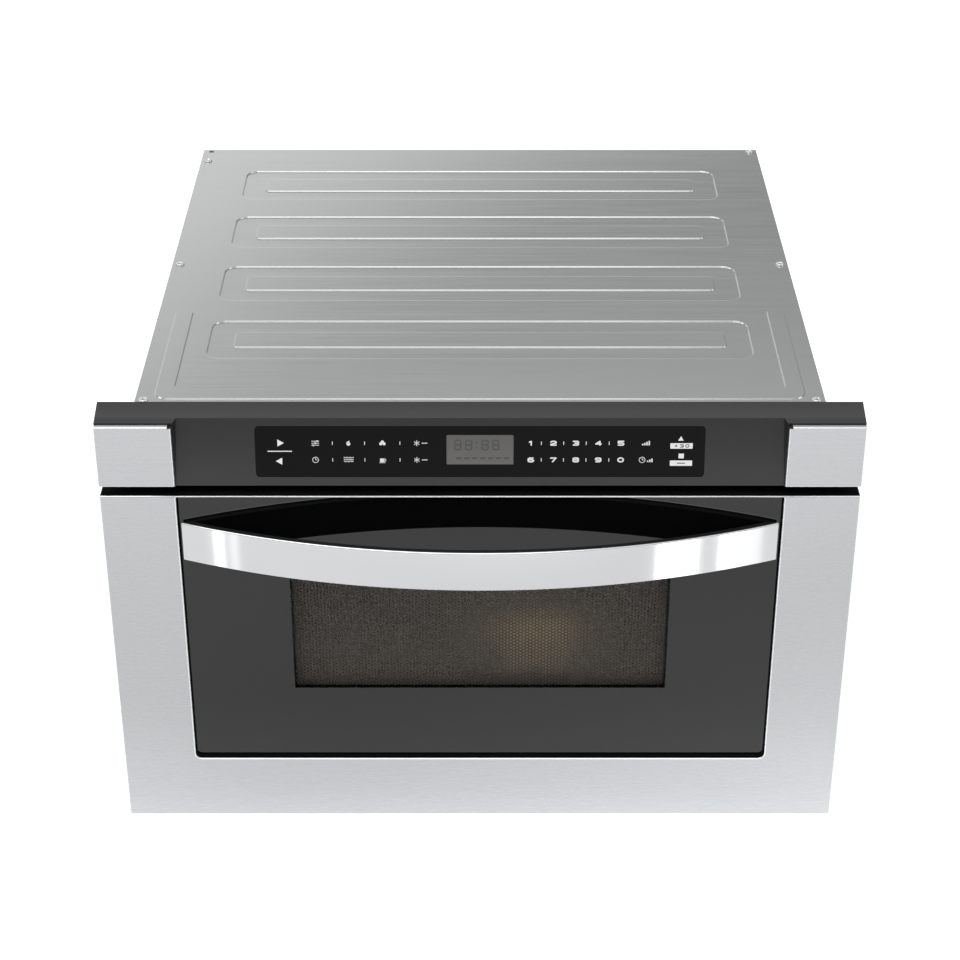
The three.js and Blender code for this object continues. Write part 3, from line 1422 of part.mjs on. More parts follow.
const topLine = (y) => capTop + panelRise * y / frontDepth;
const leanTopZ = topLine(panelLeanTop);
const lean = Math.atan2(panelLeanTop - panelLeanBottom, leanTopZ - controlBottom);

// The leaning face has a frame of its own: y runs into the panel and z up its slope.
const panelFace = new THREE.Group();
panelFace.position.set(0, panelLeanBottom, controlBottom);
panelFace.rotation.x = -lean;
panelFace.updateMatrix();
model.add(panelFace);

function onPanelFace(profile, from, to, curveSegments = 4) {
  const geometry = new THREE.ExtrudeGeometry(profile, { depth: to - from, bevelEnabled: false, curveSegments });
  return solidOf(place(geometry, from, to, 'y').applyMatrix4(panelFace.matrix));
}

const boardDepth = housingWall + 7;
const boardHalf = touchWidth / 2 - 8;

function controlPanelHousing() {
  const behindCap = frontSheet + seat;
  const end = halfFront - frontSheet - seat;
  const under = capTop - frontSheet - seat;
  const step = capLip + seat;
  const ends = extrude(polygon([
    [behindCap, controlBottom], [behindCap, under], [step, under], [step, topLine(step)],
    [frontDepth, housingTop], [frontDepth, controlBottom],
  ]), -end, end, 'x');
  const lip = extrude(polygon([
    [step, capTop - 0.7], [step, topLine(step)], [frontDepth, housingTop], [frontDepth, capTop - 0.7],
  ]), -halfFront, halfFront, 'x');
  const rise = leanTopZ - controlBottom;
  const slope = (panelLeanTop - panelLeanBottom) / rise;
  const above = 20;
  const wedge = extrude(polygon([
    [-5, controlBottom - above], [panelLeanBottom - slope * above, controlBottom - above],
    [panelLeanTop + slope * above, leanTopZ + above], [-5, leanTopZ + above],
  ]), -halfFront, halfFront, 'x');
  const inner = capInner;
  const plan = extrude(polygon([
    [-inner - recessTaper, -panelLeanTop], [inner + recessTaper, -panelLeanTop],
    [inner - recessTaper, panelLeanTop], [-inner + recessTaper, panelLeanTop],
  ]), controlBottom - above, leanTopZ + above, 'z');
  const back = frontDepth + 5;
  const hollow = extrude(polygon([
    [panelLeanBottom + housingWall * 1.02 + slope * 3, controlBottom + 3],
    [panelLeanTop + housingWall * 1.02 - slope * 3, leanTopZ - 3 - 0.4],
    [back, housingTop - 3], [back, controlBottom + 3],
  ]), -end + 4, end - 4, 'x');
  const pocket = onPanelFace(centred(touchWidth + 2 * seat, touchSill - seat, touchSill + touchHeight + seat,
    touchCorner + seat), -5, touchThickness + seat);
  const displayPort = onPanelFace(centred(displayWidth - 6, displaySill + 3, displaySill + displayHeight - 3),
    -5, housingWall + 6);
  const bosses = [];
  for (const x of [-boardHalf + 8, boardHalf - 8]) {
    for (const z of [touchSill + 6, touchSill + touchHeight - 6]) {
      bosses.push(onPanelFace(disc(x, z, 4), housingWall - 1, boardDepth - seat, 2));
    }
  }
  return join(cut(join(ends, lip), wedge.intersect(plan), hollow, pocket, displayPort), ...bosses);
}

function trimCap() {
  const depth = frontDepth - 3;
  const inner = capInner + 0.2;
  const outline = rectangle(inner, controlBottom, halfFront, capTop, foldRadius + 0.2);
  const skin = extrudeRounded(outline, 0, depth + 6, 'y', foldRadius, 2);
  const behind = box(inner - 5, halfFront - frontSheet, frontSheet, depth + 20, controlBottom - 5, capTop - frontSheet);
  const trim = box(inner - 5, halfFront + 5, depth, depth + 20, controlBottom - 5, capTop + 5);
  const aboveLip = box(inner - 5, halfFront + 5, capLip, depth + 20, capTop - 0.7 - seat, capTop + 5);
  const notch = box(inner - 5, inner + 3, frontSheet + 0.2, depth + 20, capTop - frontSheet - 0.5, capTop + 5);
  return cut(skin, behind, trim, aboveLip, notch);
}

function touchGlass() {
  const outline = centred(touchWidth, touchSill, touchSill + touchHeight, touchCorner);
  const port = centred(displayWidth + 2 * seat, displaySill - seat, displaySill + displayHeight + seat, 1);
  return extrude(withHoles(outline, port), 0, touchThickness, 'y');
}

function displayLens() {
  return extrude(centred(displayWidth, displaySill, displaySill + displayHeight, 0.8), 0.1, touchThickness, 'y');
}

function controlBoard() {
  const board = extrude(centred(2 * boardHalf, touchSill + 1, touchSill + touchHeight - 1), boardDepth,
    boardDepth + 1.6, 'y');
  const display = extrude(centred(displayWidth + 8, displaySill - 3, displaySill + displayHeight + 3),
    housingWall + seat, boardDepth + 0.5, 'y');
  const relay = extrude(rectangle(-120, 14, -98, 34), boardDepth + 1, boardDepth + 6.5, 'y');
  const chip = extrude(rectangle(60, 18, 84, 38), boardDepth + 1, boardDepth + 3.5, 'y');
  const plug = extrude(rectangle(110, 14, 142, 24), boardDepth + 1, boardDepth + 7, 'y');
  return join(board, display, relay, chip, plug);
}

// ---------------------------------------------------------------------------------------------
// Assembly
// ---------------------------------------------------------------------------------------------

piece('top_cover', topCover(), 'brushedSteel');
pair('side_panel', sidePanel, 'galvanised');
piece('base_plate', basePlate(), 'galvanised');
piece('rear_panel', rearPanel(), 'galvanised');
piece('cord_gland', cordGland(), 'blackPlastic');
piece('face_flange', faceFlange(), 'blackPaint');
piece('cavity_shell', cavityShell(), 'cavityPaint');
piece('cavity_support', cavitySupport(), 'galvanised');
piece('stirrer_cover', stirrerCover(), 'mica');

piece('waveguide', waveguide(), 'galvanised');
piece('stirrer_motor', stirrerMotor(), 'whitePlastic');
piece('stirrer', stirrerBlades(), 'brightSteel')
  .position.set(0, stirrerSetback, cavityTop - stirrerWell / 2);
piece('magnetron_yoke', magnetronYoke(), 'galvanised');
piece('magnetron_anode', magnetronAnode(), 'castAluminium');
piece('fan_frame', fanFrame(), 'blackPlastic');
piece('fan_rotor', fanRotor(), 'blackPlastic')
  .position.set(fanX, rearInside - seat - fanDepth + fanHubDepth + 1, fanZ);
piece('transformer_core', transformerCore(), 'lamination');
piece('primary_winding', winding(0), 'copper');
piece('secondary_winding', winding(1), 'copper');
piece('capacitor', capacitor(), 'castAluminium');
piece('filter_board', filterBoard(), 'board');
piece('lamp_holder', lampHolder(), 'galvanised');
piece('oven_lamp', ovenLamp(), 'clearGlass');

pair('rail_bracket', railBracket, 'galvanised');
pair('slide_outer', slideOuter, 'brightSteel');
pair('slide_middle', slideMiddle, 'brightSteel');
pair('slide_inner', slideInner, 'brightSteel');
pair('drawer_arm', drawerArm, 'galvanised');
for (const [word, side] of [['left', -1], ['right', 1]]) {
  piece(`rack_${word}`, onSide(rack(), side), 'nylon').position.y = shaftSetback;
}
piece('cross_shaft', crossShaft(), 'brightSteel').position.set(0, shaftSetback, shaftHeight);
piece('motor_pinion', motorPinion(), 'nylon').position.set(0, motorSetback, shaftHeight);
piece('drive_carrier', driveCarrier(), 'galvanised');
piece('drawer_motor', drawerMotor(), 'brightSteel');
pair('latch_hook', latchHook, 'nylon');
pair('interlock', interlock, 'whitePlastic');

piece('drawer_front_frame', drawerFrontFrame(), 'brushedSteel');
piece('door_glass', doorGlass(), 'darkGlass');
piece('rf_screen', rfScreen(), 'blackPaint');
piece('door_back_panel', doorBackPanel(), 'cavityPaint');
piece('inner_window', innerWindow(), 'clearGlass');
piece('choke_ring', chokeRing(), 'blackPlastic');
piece('drawer_tub', drawerTub(), 'cavityPaint');
piece('ceramic_tray', ceramicTray(), 'ceramic');
piece('handle_bar', handleBar(), 'polishedSteel');
piece('handle_backing', handleBacking(), 'blackPlastic');

piece('control_panel_housing', controlPanelHousing(), 'darkHousing');
pair('trim_cap', trimCap, 'brushedSteel');
piece('touch_glass', touchGlass(), 'darkGlass', panelFace);
piece('display_lens', displayLens(), 'displayGrey', panelFace);
piece('control_board', controlBoard(), 'board', panelFace);

// The origin goes to the middle of the bounding box's lower face.
const appliance = new THREE.Group();
appliance.add(model);
const bounds = new THREE.Box3().setFromObject(model);
const middle = bounds.getCenter(new THREE.Vector3());
model.position.set(-middle.x, -middle.y, -bounds.min.z);

export default appliance;
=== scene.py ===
"""A built-in microwave drawer: smooth shells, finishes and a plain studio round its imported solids.

Everything is in metres in the appliance's own frame: X runs to the right, Y from the front to the
back and Z up, with the origin under the middle of the appliance.
"""

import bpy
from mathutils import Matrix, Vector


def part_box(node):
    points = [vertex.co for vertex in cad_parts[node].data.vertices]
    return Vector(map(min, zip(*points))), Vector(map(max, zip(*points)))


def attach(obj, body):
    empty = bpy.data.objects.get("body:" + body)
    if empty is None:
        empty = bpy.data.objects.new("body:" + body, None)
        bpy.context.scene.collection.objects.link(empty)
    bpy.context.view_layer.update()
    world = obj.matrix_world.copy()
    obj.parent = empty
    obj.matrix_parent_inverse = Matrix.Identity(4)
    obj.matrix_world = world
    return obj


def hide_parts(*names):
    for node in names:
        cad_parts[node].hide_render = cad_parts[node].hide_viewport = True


bl_info = {
    "name": "Microwave Drawer",
    "version": (1, 0, 0),
    "blender": (4, 5, 0),
    "location": "3D View > Sidebar > Microwave Drawer",
    "description": "Smooth shells, finishes and studio of a built-in microwave drawer",
    "category": "Object",
}

from math import atan2, cos, pi, radians, sin, sqrt, tan

import bmesh
import bpy
from mathutils import Matrix, Vector

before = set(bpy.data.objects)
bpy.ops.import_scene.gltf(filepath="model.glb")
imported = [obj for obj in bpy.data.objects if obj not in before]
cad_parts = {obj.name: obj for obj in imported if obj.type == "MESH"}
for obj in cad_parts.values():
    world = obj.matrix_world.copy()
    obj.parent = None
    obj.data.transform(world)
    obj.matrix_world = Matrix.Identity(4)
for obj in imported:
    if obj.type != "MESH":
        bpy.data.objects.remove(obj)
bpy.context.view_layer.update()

MM = 0.001
SOLID_BAND = 1.6 * MM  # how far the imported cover's raised band stands above its sheet
STEEL_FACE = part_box("drawer_front_frame")[0].y
CASING_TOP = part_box("top_cover")[1].z - SOLID_BAND
X_AXIS = Vector((1, 0, 0))
Y_AXIS = Vector((0, 1, 0))
Z_AXIS = Vector((0, 0, 1))


def tone(code):
    """The linear colour of a screen colour such as 0xC9CCD0."""
    channels = [((code >> shift) & 255) / 255 for shift in (16, 8, 0)]
    return tuple(c / 12.92 if c <= 0.04045 else ((c + 0.055) / 1.055) ** 2.4 for c in channels)


def behind_face(depth):
    """The Y of a place that lies this far behind the steel face."""
    return STEEL_FACE + depth


# ----------------------------------------------------------------------------------------------
# Settings
# ----------------------------------------------------------------------------------------------


def length(name, description, default):
    return bpy.props.FloatProperty(
        name=name, description=description, default=default, min=0, precision=5, unit="LENGTH"
    )


def colour(name, description, code):
    return bpy.props.FloatVectorProperty(
        name=name, description=description, default=tone(code), min=0, max=1, size=3, subtype="COLOR"
    )


class MicrowaveDrawerSizes(bpy.types.PropertyGroup):
    """Sizes of the shells that are modelled here."""

    sheet: length("Sheet", "Thickness of the folded steel", 0.75 * MM)
    fold: length("Fold radius", "Rounded edge of the folded front and end caps", 0.8 * MM)
    press_depth: length("Pressing depth", "Depth of the bands pressed into the casing top", 1.1 * MM)
    press_run: length("Pressing run", "Width of a pressed band's sloping wall", 0.8 * MM)
    hole_pitch: length("Hole pitch", "Distance between the holes of the perforated screen", 3.12 * MM)
    hole_size: length("Hole size", "Diameter of the holes of the perforated screen", 2.15 * MM)
    edge: length("Edge radius", "Rounding on the edges of moulded pieces", 0.35 * MM)


class MicrowaveDrawerColours(bpy.types.PropertyGroup):
    """Colours of the finishes that show."""

    front_steel: colour("Front steel", "Brushed steel of the front and end caps", 0xCBCDCF)
    casing_steel: colour("Casing steel", "Brushed sheet of the casing", 0xBDBEBE)
    handle_steel: colour("Handle steel", "Polished steel of the handle", 0xE0E1E3)
    housing: colour("Panel housing", "Satin plastic of the control panel", 0x2A2A2B)
    touch: colour("Touch glass", "Gloss black glass of the touch panel", 0x060606)
    display: colour("Display", "Unlit display behind its lens", 0x626160)
    legend: colour("Legend", "Printed marks on the touch glass", 0xF2F2F2)
    screen: colour("Perforated screen", "Painted sheet behind the window", 0x615B53)
    floor: colour("Floor", "Studio floor", 0xF4F4F4)


class MicrowaveDrawerStudio(bpy.types.PropertyGroup):
    """Camera and light."""

    lens: bpy.props.FloatProperty(
        name="Lens", description="Focal length on a 36 mm sensor", default=84.506, subtype="DISTANCE_CAMERA"
    )
    pitch: bpy.props.FloatProperty(
        name="Pitch", description="How far the camera looks down", default=radians(30.36), subtype="ANGLE"
    )
    distance: length("Camera distance", "From the steel face to the camera, along the floor", 1.54)
    height: length("Camera height", "Above the floor", 1.238)
    key_power: bpy.props.FloatProperty(
        name="Key light", description="Power of the large lamp overhead", default=22.0, subtype="POWER"
    )


def sizes():
    return bpy.context.scene.microwave_drawer_sizes


def colours():
    return bpy.context.scene.microwave_drawer_colours


def studio():
    return bpy.context.scene.microwave_drawer_studio


# ----------------------------------------------------------------------------------------------
# Shader maths
# ----------------------------------------------------------------------------------------------


class Wire:
    """A node's output that can be used in a sum."""

    def __init__(self, shader, socket):
        self.shader = shader
        self.socket = socket

    def combine(self, operation, first, second):
        return self.shader.node("ShaderNodeMath", {"operation": operation}, {0: first, 1: second})

    def __add__(self, other):
        return self.combine("ADD", self, other)

    def __radd__(self, other):
        return self.combine("ADD", other, self)

    def __sub__(self, other):
        return self.combine("SUBTRACT", self, other)

    def __rsub__(self, other):
        return self.combine("SUBTRACT", other, self)

    def __mul__(self, other):
        return self.combine("MULTIPLY", self, other)

    def __rmul__(self, other):
        return self.combine("MULTIPLY", other, self)

    def largest(self, other):
        return self.combine("MAXIMUM", self, other)

    def between(self, low, high):
        """0 below low, 1 above high and a smooth step between them."""
        settings = {"interpolation_type": "SMOOTHSTEP"}
        inputs = {"Value": self, "From Min": low, "From Max": high}
        return self.shader.node("ShaderNodeMapRange", settings, inputs)

    def swing(self, reach):
        """A noise made to swing about 0, this far over its whole range."""
        return (self - 0.5) * reach


class Shader:
    """A node tree and the nodes that are put in it."""

    def __init__(self, owner, output_kind="ShaderNodeOutputMaterial"):
        owner.use_nodes = True
        self.owner = owner
        self.tree = owner.node_tree
        self.tree.nodes.clear()
        self.output = self.tree.nodes.new(output_kind)

    def node(self, kind, settings=None, inputs=None, output=0):
        made = self.tree.nodes.new(kind)
        for name, value in (settings or {}).items():
            setattr(made, name, value)
        for key, value in (inputs or {}).items():
            if isinstance(value, Wire):
                self.tree.links.new(value.socket, made.inputs[key])
            else:
                made.inputs[key].default_value = value
        return Wire(self, made.outputs[output])

    def surface(self, wire):
        self.tree.links.new(wire.socket, self.output.inputs["Surface"])

    def place(self, scale=(1, 1, 1)):
        """Object coordinates, scaled."""
        where = self.node("ShaderNodeTexCoord", output="Object")
        return self.node("ShaderNodeMapping", None, {"Vector": where, "Scale": scale})

    def along(self, axis):
        """One of the object's own coordinates, in metres."""
        where = self.node("ShaderNodeTexCoord", output="Object")
        return self.node("ShaderNodeSeparateXYZ", None, {"Vector": where}, output=axis)

    def stripes(self, axis, pitch):
        """Bands across one axis, from 0 to 1 and back in each pitch."""
        angle = self.along(axis) * (2 * pi / pitch)
        return self.node("ShaderNodeMath", {"operation": "SINE"}, {0: angle}) * 0.5 + 0.5

    def noise(self, where, scale, detail, roughness):
        inputs = {"Vector": where, "Scale": scale, "Detail": detail, "Roughness": roughness}
        return self.node("ShaderNodeTexNoise", None, inputs)

    def mix(self, factor, first, second):
        """One colour over another."""
        inputs = {0: factor, 6: first, 7: second}
        return self.node("ShaderNodeMix", {"data_type": "RGBA"}, inputs, output=2)

    def tones(self, factor, rgb, first, last):
        """One colour at two gains, from the first to the last as the factor grows."""
        return self.mix(factor, shade(rgb, first), shade(rgb, last))

    def bump(self, height, strength, distance):
        inputs = {"Strength": strength, "Distance": distance, "Height": height}
        return self.node("ShaderNodeBump", None, inputs)


def shade(rgb, gain):
    """A colour with its brightness changed."""
    return (*[min(1.0, c * gain) for c in rgb], 1)


def principled(shader, inputs):
    shader.surface(shader.node("ShaderNodeBsdfPrincipled", None, inputs))
    return shader.owner


def new_material(name):
    return Shader(bpy.data.materials.new(name))


# ----------------------------------------------------------------------------------------------
# Finishes
# ----------------------------------------------------------------------------------------------

# The attribute marks rolled folds that get a painted highlight, a brighter base colour.
PAINTED_FOLD_HIGHLIGHT = "burnished"  # the attribute that marks rolled folds


def brushed_steel(name, rgb, roughness, contrast, clouding, fine=1300, long=7):
    """Steel with fine lines along X, as a belt leaves them, with a painted highlight on the marked folds."""
    shader = new_material(name)
    lines = shader.noise(shader.place((long, fine, fine)), 1.0, 3.0, 0.65)
    scratches = shader.noise(shader.place((long * 2.5, fine * 0.35, fine * 0.35)), 1.0, 2.0, 0.7)
    clouds = shader.noise(shader.place((2.2, 3.1, 3.1)), 1.0, 1.0, 0.4)
    grain = lines * 0.6 + scratches * 0.4
    bright = grain.swing(contrast * 6) + clouds.swing(clouding * 6) + 0.5
    base = shader.tones(bright, rgb, 1 - contrast, 1 + contrast)
    # Painted highlight: on the marked folds the base colour is raised to 1.6 times the steel's.
    fold_highlight = shader.node("ShaderNodeAttribute", {"attribute_name": PAINTED_FOLD_HIGHLIGHT}, output="Fac")
    return principled(shader, {
        "Base Color": shader.mix(fold_highlight, base, shade(rgb, 1.6)),
        "Metallic": 1.0,
        "Roughness": grain.swing(0.22) + clouds.swing(0.06) + roughness,
        "Normal": shader.bump(grain, 0.12, 0.04 * MM),
    })


def polished_steel(name, rgb, roughness):
    """Steel polished almost to a mirror, with the faintest haze and hairlines."""
    shader = new_material(name)
    haze = shader.noise(shader.place((9, 9, 9)), 1.0, 3.0, 0.6)
    hairs = shader.noise(shader.place((14, 900, 900)), 1.0, 2.0, 0.6)
    return principled(shader, {
        "Base Color": shader.tones(haze, rgb, 0.97, 1.03),
        "Metallic": 1.0,
        "Roughness": haze.swing(0.06) + hairs.swing(0.05) + roughness,
        "Normal": shader.bump(hairs, 0.04, 0.02 * MM),
    })


def galvanised_sheet(name, rgb):
    """Zinc-coated sheet: soft crystal patches with a duller bloom here and there."""
    shader = new_material(name)
    patches = shader.node("ShaderNodeTexVoronoi", {"feature": "F1"}, {
        "Vector": shader.place(), "Scale": 95.0, "Randomness": 1.0,
    }, output="Color")
    level = shader.node("ShaderNodeSeparateColor", None, {"Color": patches})
    bloom = shader.noise(shader.place(), 11.0, 3.0, 0.55)
    return principled(shader, {
        "Base Color": shader.tones(level * 0.6 + bloom * 0.4, rgb, 0.86, 1.1),
        "Metallic": 1.0,
        "Roughness": level.swing(0.12) + bloom.swing(0.2) + 0.42,
        "Normal": shader.bump(bloom, 0.08, 0.2 * MM),
    })


def machined_metal(name, rgb, roughness, metallic=1.0, scale=260.0):
    """Plain metal that a press or lathe left a little uneven."""
    shader = new_material(name)
    grain = shader.noise(shader.place(), scale, 3.0, 0.6)
    stain = shader.noise(shader.place(), 16.0, 2.0, 0.5)
    return principled(shader, {
        "Base Color": shader.tones(stain, rgb, 0.9, 1.08),
        "Metallic": metallic,
        "Roughness": grain.swing(0.16) + stain.swing(0.1) + roughness,
        "Normal": shader.bump(grain, 0.15, 0.05 * MM),
    })


def moulded_plastic(name, rgb, roughness, texture=2400.0, depth=0.03 * MM):
    """Injection-moulded plastic with a fine spark-eroded texture."""
    shader = new_material(name)
    grain = shader.noise(shader.place(), texture, 2.0, 0.6)
    drift = shader.noise(shader.place(), 7.0, 2.0, 0.5)
    return principled(shader, {
        "Base Color": shader.tones(drift, rgb, 0.92, 1.1),
        "Roughness": grain.swing(0.1) + drift.swing(0.06) + roughness,
        "Normal": shader.bump(grain, 0.25, depth),
    })


def enamel(name, rgb, roughness=0.3):
    """Baked coating with orange peel and a scatter of darker specks."""
    shader = new_material(name)
    peel = shader.noise(shader.place(), 420.0, 2.0, 0.5)
    specks = shader.noise(shader.place(), 1500.0, 1.0, 0.5).between(0.66, 0.72)
    return principled(shader, {
        "Base Color": shader.tones(specks * 0.5, rgb, 1.0, 0.55),
        "Roughness": peel.swing(0.1) + roughness,
        "Normal": shader.bump(peel, 0.12, 0.06 * MM),
    })


def wound_copper(name, rgb):
    """Enamelled wire seen as fine turns round the coil."""
    shader = new_material(name)
    turns = shader.stripes("Z", 1.1 * MM)
    drift = shader.noise(shader.place(), 60.0, 2.0, 0.5)
    return principled(shader, {
        "Base Color": shader.tones(turns * 0.7 + drift * 0.3, rgb, 0.45, 1.15),
        "Metallic": 0.7,
        "Roughness": drift.swing(0.1) + 0.34,
        "Normal": shader.bump(turns, 0.6, 0.3 * MM),
    })


def stacked_lamination(name, rgb):
    """Edges of thin varnished steel plates, stacked along Y."""
    shader = new_material(name)
    plates = shader.stripes("Y", 0.9 * MM)
    stain = shader.noise(shader.place(), 40.0, 3.0, 0.6)
    return principled(shader, {
        "Base Color": shader.tones(plates * 0.6 + stain * 0.4, rgb, 0.6, 1.25),
        "Metallic": 0.6,
        "Roughness": stain.swing(0.2) + 0.5,
        "Normal": shader.bump(plates, 0.5, 0.2 * MM),
    })


def circuit_board(name, rgb):
    """Solder mask over tracks that run along X."""
    shader = new_material(name)
    tracks = shader.noise(shader.place((60, 400, 400)), 1.0, 1.0, 0.4).between(0.52, 0.56)
    grain = shader.noise(shader.place(), 900.0, 2.0, 0.5)
    return principled(shader, {
        "Base Color": shader.tones(tracks, rgb, 0.8, 1.5),
        "Roughness": grain.swing(0.1) + 0.4,
        "Normal": shader.bump(tracks, 0.3, 0.05 * MM),
    })


def even_coat(name, rgb, pattern, gains, roughness, reach, fixed=None):
    """A smooth finish whose colour and roughness drift together with one noise."""
    shader = new_material(name)
    drift = shader.noise(shader.place(), *pattern)
    return principled(shader, {
        "Base Color": shader.tones(drift, rgb, *gains),
        "Roughness": drift.swing(reach) + roughness,
        **(fixed or {}),
    })


def gloss_glass(name, rgb):
    """Back-painted glass: a black sheet under a clear gloss."""
    return even_coat(name, rgb, (14.0, 3.0, 0.6), (0.9, 1.15), 0.03, 0.02, {"Specular IOR Level": 0.14})


def soft_rubber(name, rgb):
    """Dull black rubber that mirrors almost nothing."""
    return even_coat(name, rgb, (60.0, 3.0, 0.6), (0.8, 1.3), 0.8, 0.1, {"Specular IOR Level": 0.08})


def screen_coat(name, rgb):
    """Thin matt paint on the perforated sheet."""
    return even_coat(name, rgb, (30.0, 3.0, 0.6), (0.85, 1.15), 0.7, 0.1, {"Specular IOR Level": 0.15})


def printed_ink(name, rgb):
    """Screen print, with the slight unevenness of ink on glass."""
    return even_coat(name, rgb, (1800.0, 2.0, 0.5), (0.93, 1.05), 0.45, 0.1)


def panel_plastic_with_painted_shade(name, rgb):
    """The panel housing's satin plastic with painted shade: its leaning face is paler at the foot and darker
    at the fold, and its sloping top is paler at the front edge and darker behind.
    """
    shader = new_material(name)
    low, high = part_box("control_panel_housing")
    fold = panel_fold()[1]
    height = shader.along("Z")
    # Painted shade: the leaning face runs from paler at its foot to darker at the fold, and the sloping top
    # from paler at its front edge to darker behind.
    face = shader.tones(height.between(low.z, fold), rgb, 1.35, 0.6)
    top = shader.tones(height.between(fold, high.z), rgb, 1.3, 0.65)
    drift = shader.noise(shader.place(), 7.0, 2.0, 0.5)
    grain = shader.noise(shader.place(), 2600.0, 2.0, 0.6)
    base = shader.mix(height.between(fold - 0.3 * MM, fold + 0.1 * MM), face, top)
    return principled(shader, {
        "Base Color": shader.mix(drift * 0.12, base, shade(rgb, 1.3)),
        "Roughness": grain.swing(0.1) + drift.swing(0.06) + 0.36,
        "Normal": shader.bump(grain, 0.25, 0.02 * MM),
    })


PANE_SMEAR = (8.0, 3.0, 0.6)  # the faint noise on clear glass
PANE_POLISH = 0.025


def door_pane_glass(name, rgb):
    """Back-printed glass, left clear and dull in front of the perforated screen."""
    shader = new_material(name)
    smear = shader.noise(shader.place(), *PANE_SMEAR)
    base = shader.tones(smear, rgb, 0.9, 1.1)
    fade = 1.2 * MM
    across, height = shader.along("X"), shader.along("Z")
    bottom, top = SCREEN_SILL + PANE_LOOK_DOWN, SCREEN_TOP + PANE_LOOK_DOWN
    inside = (across.between(-SCREEN_HALF - fade, -SCREEN_HALF)
              * (1 - across.between(SCREEN_HALF, SCREEN_HALF + fade))
              * height.between(bottom - fade, bottom) * (1 - height.between(top, top + fade)))
    polish = smear.swing(0.02) + PANE_POLISH
    printed, clear = [
        shader.node("ShaderNodeBsdfPrincipled", None, {"Base Color": base, "Roughness": polish, **fixed})
        for fixed in ({"IOR": 1.62}, {"Alpha": 0.1, "Specular IOR Level": 0.2})
    ]
    shader.surface(shader.node("ShaderNodeMixShader", None, {0: inside, 1: printed, 2: clear}))
    return shader.owner


def window_glass(name, rgb, alpha):
    """Tinted glass that shows a little of what lies behind it."""
    shader = new_material(name)
    smear = shader.noise(shader.place(), *PANE_SMEAR)
    return principled(shader, {
        "Base Color": shader.tones(smear, rgb, 0.9, 1.1),
        "Roughness": smear.swing(0.02) + PANE_POLISH,
        "Alpha": smear.swing(0.02) + alpha,
        "IOR": 1.5,
    })


def display_grey(name, rgb):
    """Unlit liquid-crystal display: a fine grid under a matt film, with painted shade that makes it paler at
    its foot and darker at its top.
    """
    shader = new_material(name)
    film = shader.noise(shader.place(), 1600.0, 1.0, 0.5)
    low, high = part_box("display_lens")
    # Painted shade: the display runs from paler at its foot to darker at its top.
    fade = shader.along("Z").between(low.z, high.z)
    return principled(shader, {
        "Base Color": shader.tones(fade * 0.7 + film * 0.3, rgb, 1.12, 0.86),
        "Roughness": film.swing(0.1) + 0.3,
    })


FINISH_RECIPES = {  # each one's recipe, a colour's setting or code, and what else the recipe takes
    "front_steel": (brushed_steel, "front_steel", 0.27, 0.014, 0.012),
    "casing_steel": (brushed_steel, "casing_steel", 0.17, 0.035, 0.012, 900, 4),
    "handle_steel": (polished_steel, "handle_steel", 0.1),
    "galvanised": (galvanised_sheet, 0xB4B7BA),
    "side_steel": (brushed_steel, 0xB9BBBD, 0.34, 0.06, 0.05),
    "bright_steel": (machined_metal, 0xB4B6B8, 0.26),
    "screw_steel": (machined_metal, 0xD4D5D6, 0.2),
    "aluminium": (machined_metal, 0xB2B7BB, 0.38, 0.95, 180.0),
    "lamination": (stacked_lamination, 0x5A5D60),
    "copper": (wound_copper, 0xB8703C),
    "black_plastic": (moulded_plastic, 0x161617, 0.45),
    "housing": (panel_plastic_with_painted_shade, "housing"),
    "black_paint": (moulded_plastic, 0x121213, 0.5, 1400.0),
    "handle_back": (moulded_plastic, 0x050505, 0.55),
    "screen_paint": (screen_coat, "screen"),
    "rubber": (soft_rubber, 0x0A0A0A),
    "cavity_enamel": (enamel, 0xB9B5AA),
    "white_plastic": (moulded_plastic, 0xDEDEDC, 0.5),
    "nylon": (moulded_plastic, 0xE4E2D8, 0.48, 900.0, 0.05 * MM),
    "mica": (enamel, 0xD0C4A6, 0.55),
    "board": (circuit_board, 0x2F5A3A),
    "touch": (gloss_glass, "touch"),
    "display": (display_grey, "display"),
    "segment": (printed_ink, 0x4E4D4C),
    "legend": (printed_ink, "legend"),
    "legend_dark": (printed_ink, 0x202020),
    "door_glass": (door_pane_glass, 0x0A0A0A),
    "clear_glass": (window_glass, 0xD8DEDF, 0.12),
    "lamp_glass": (window_glass, 0xF2E6C8, 0.5),
    "ceramic": (enamel, 0xDDD6C6, 0.18),
}

FINISHES = {}


def finish(name):
    """A finish by its name, made once."""
    if name not in FINISHES:
        recipe, source, *rest = FINISH_RECIPES[name]
        rgb = tone(source) if isinstance(source, int) else getattr(colours(), source)
        FINISHES[name] = recipe(name, rgb, *rest)
    return FINISHES[name]


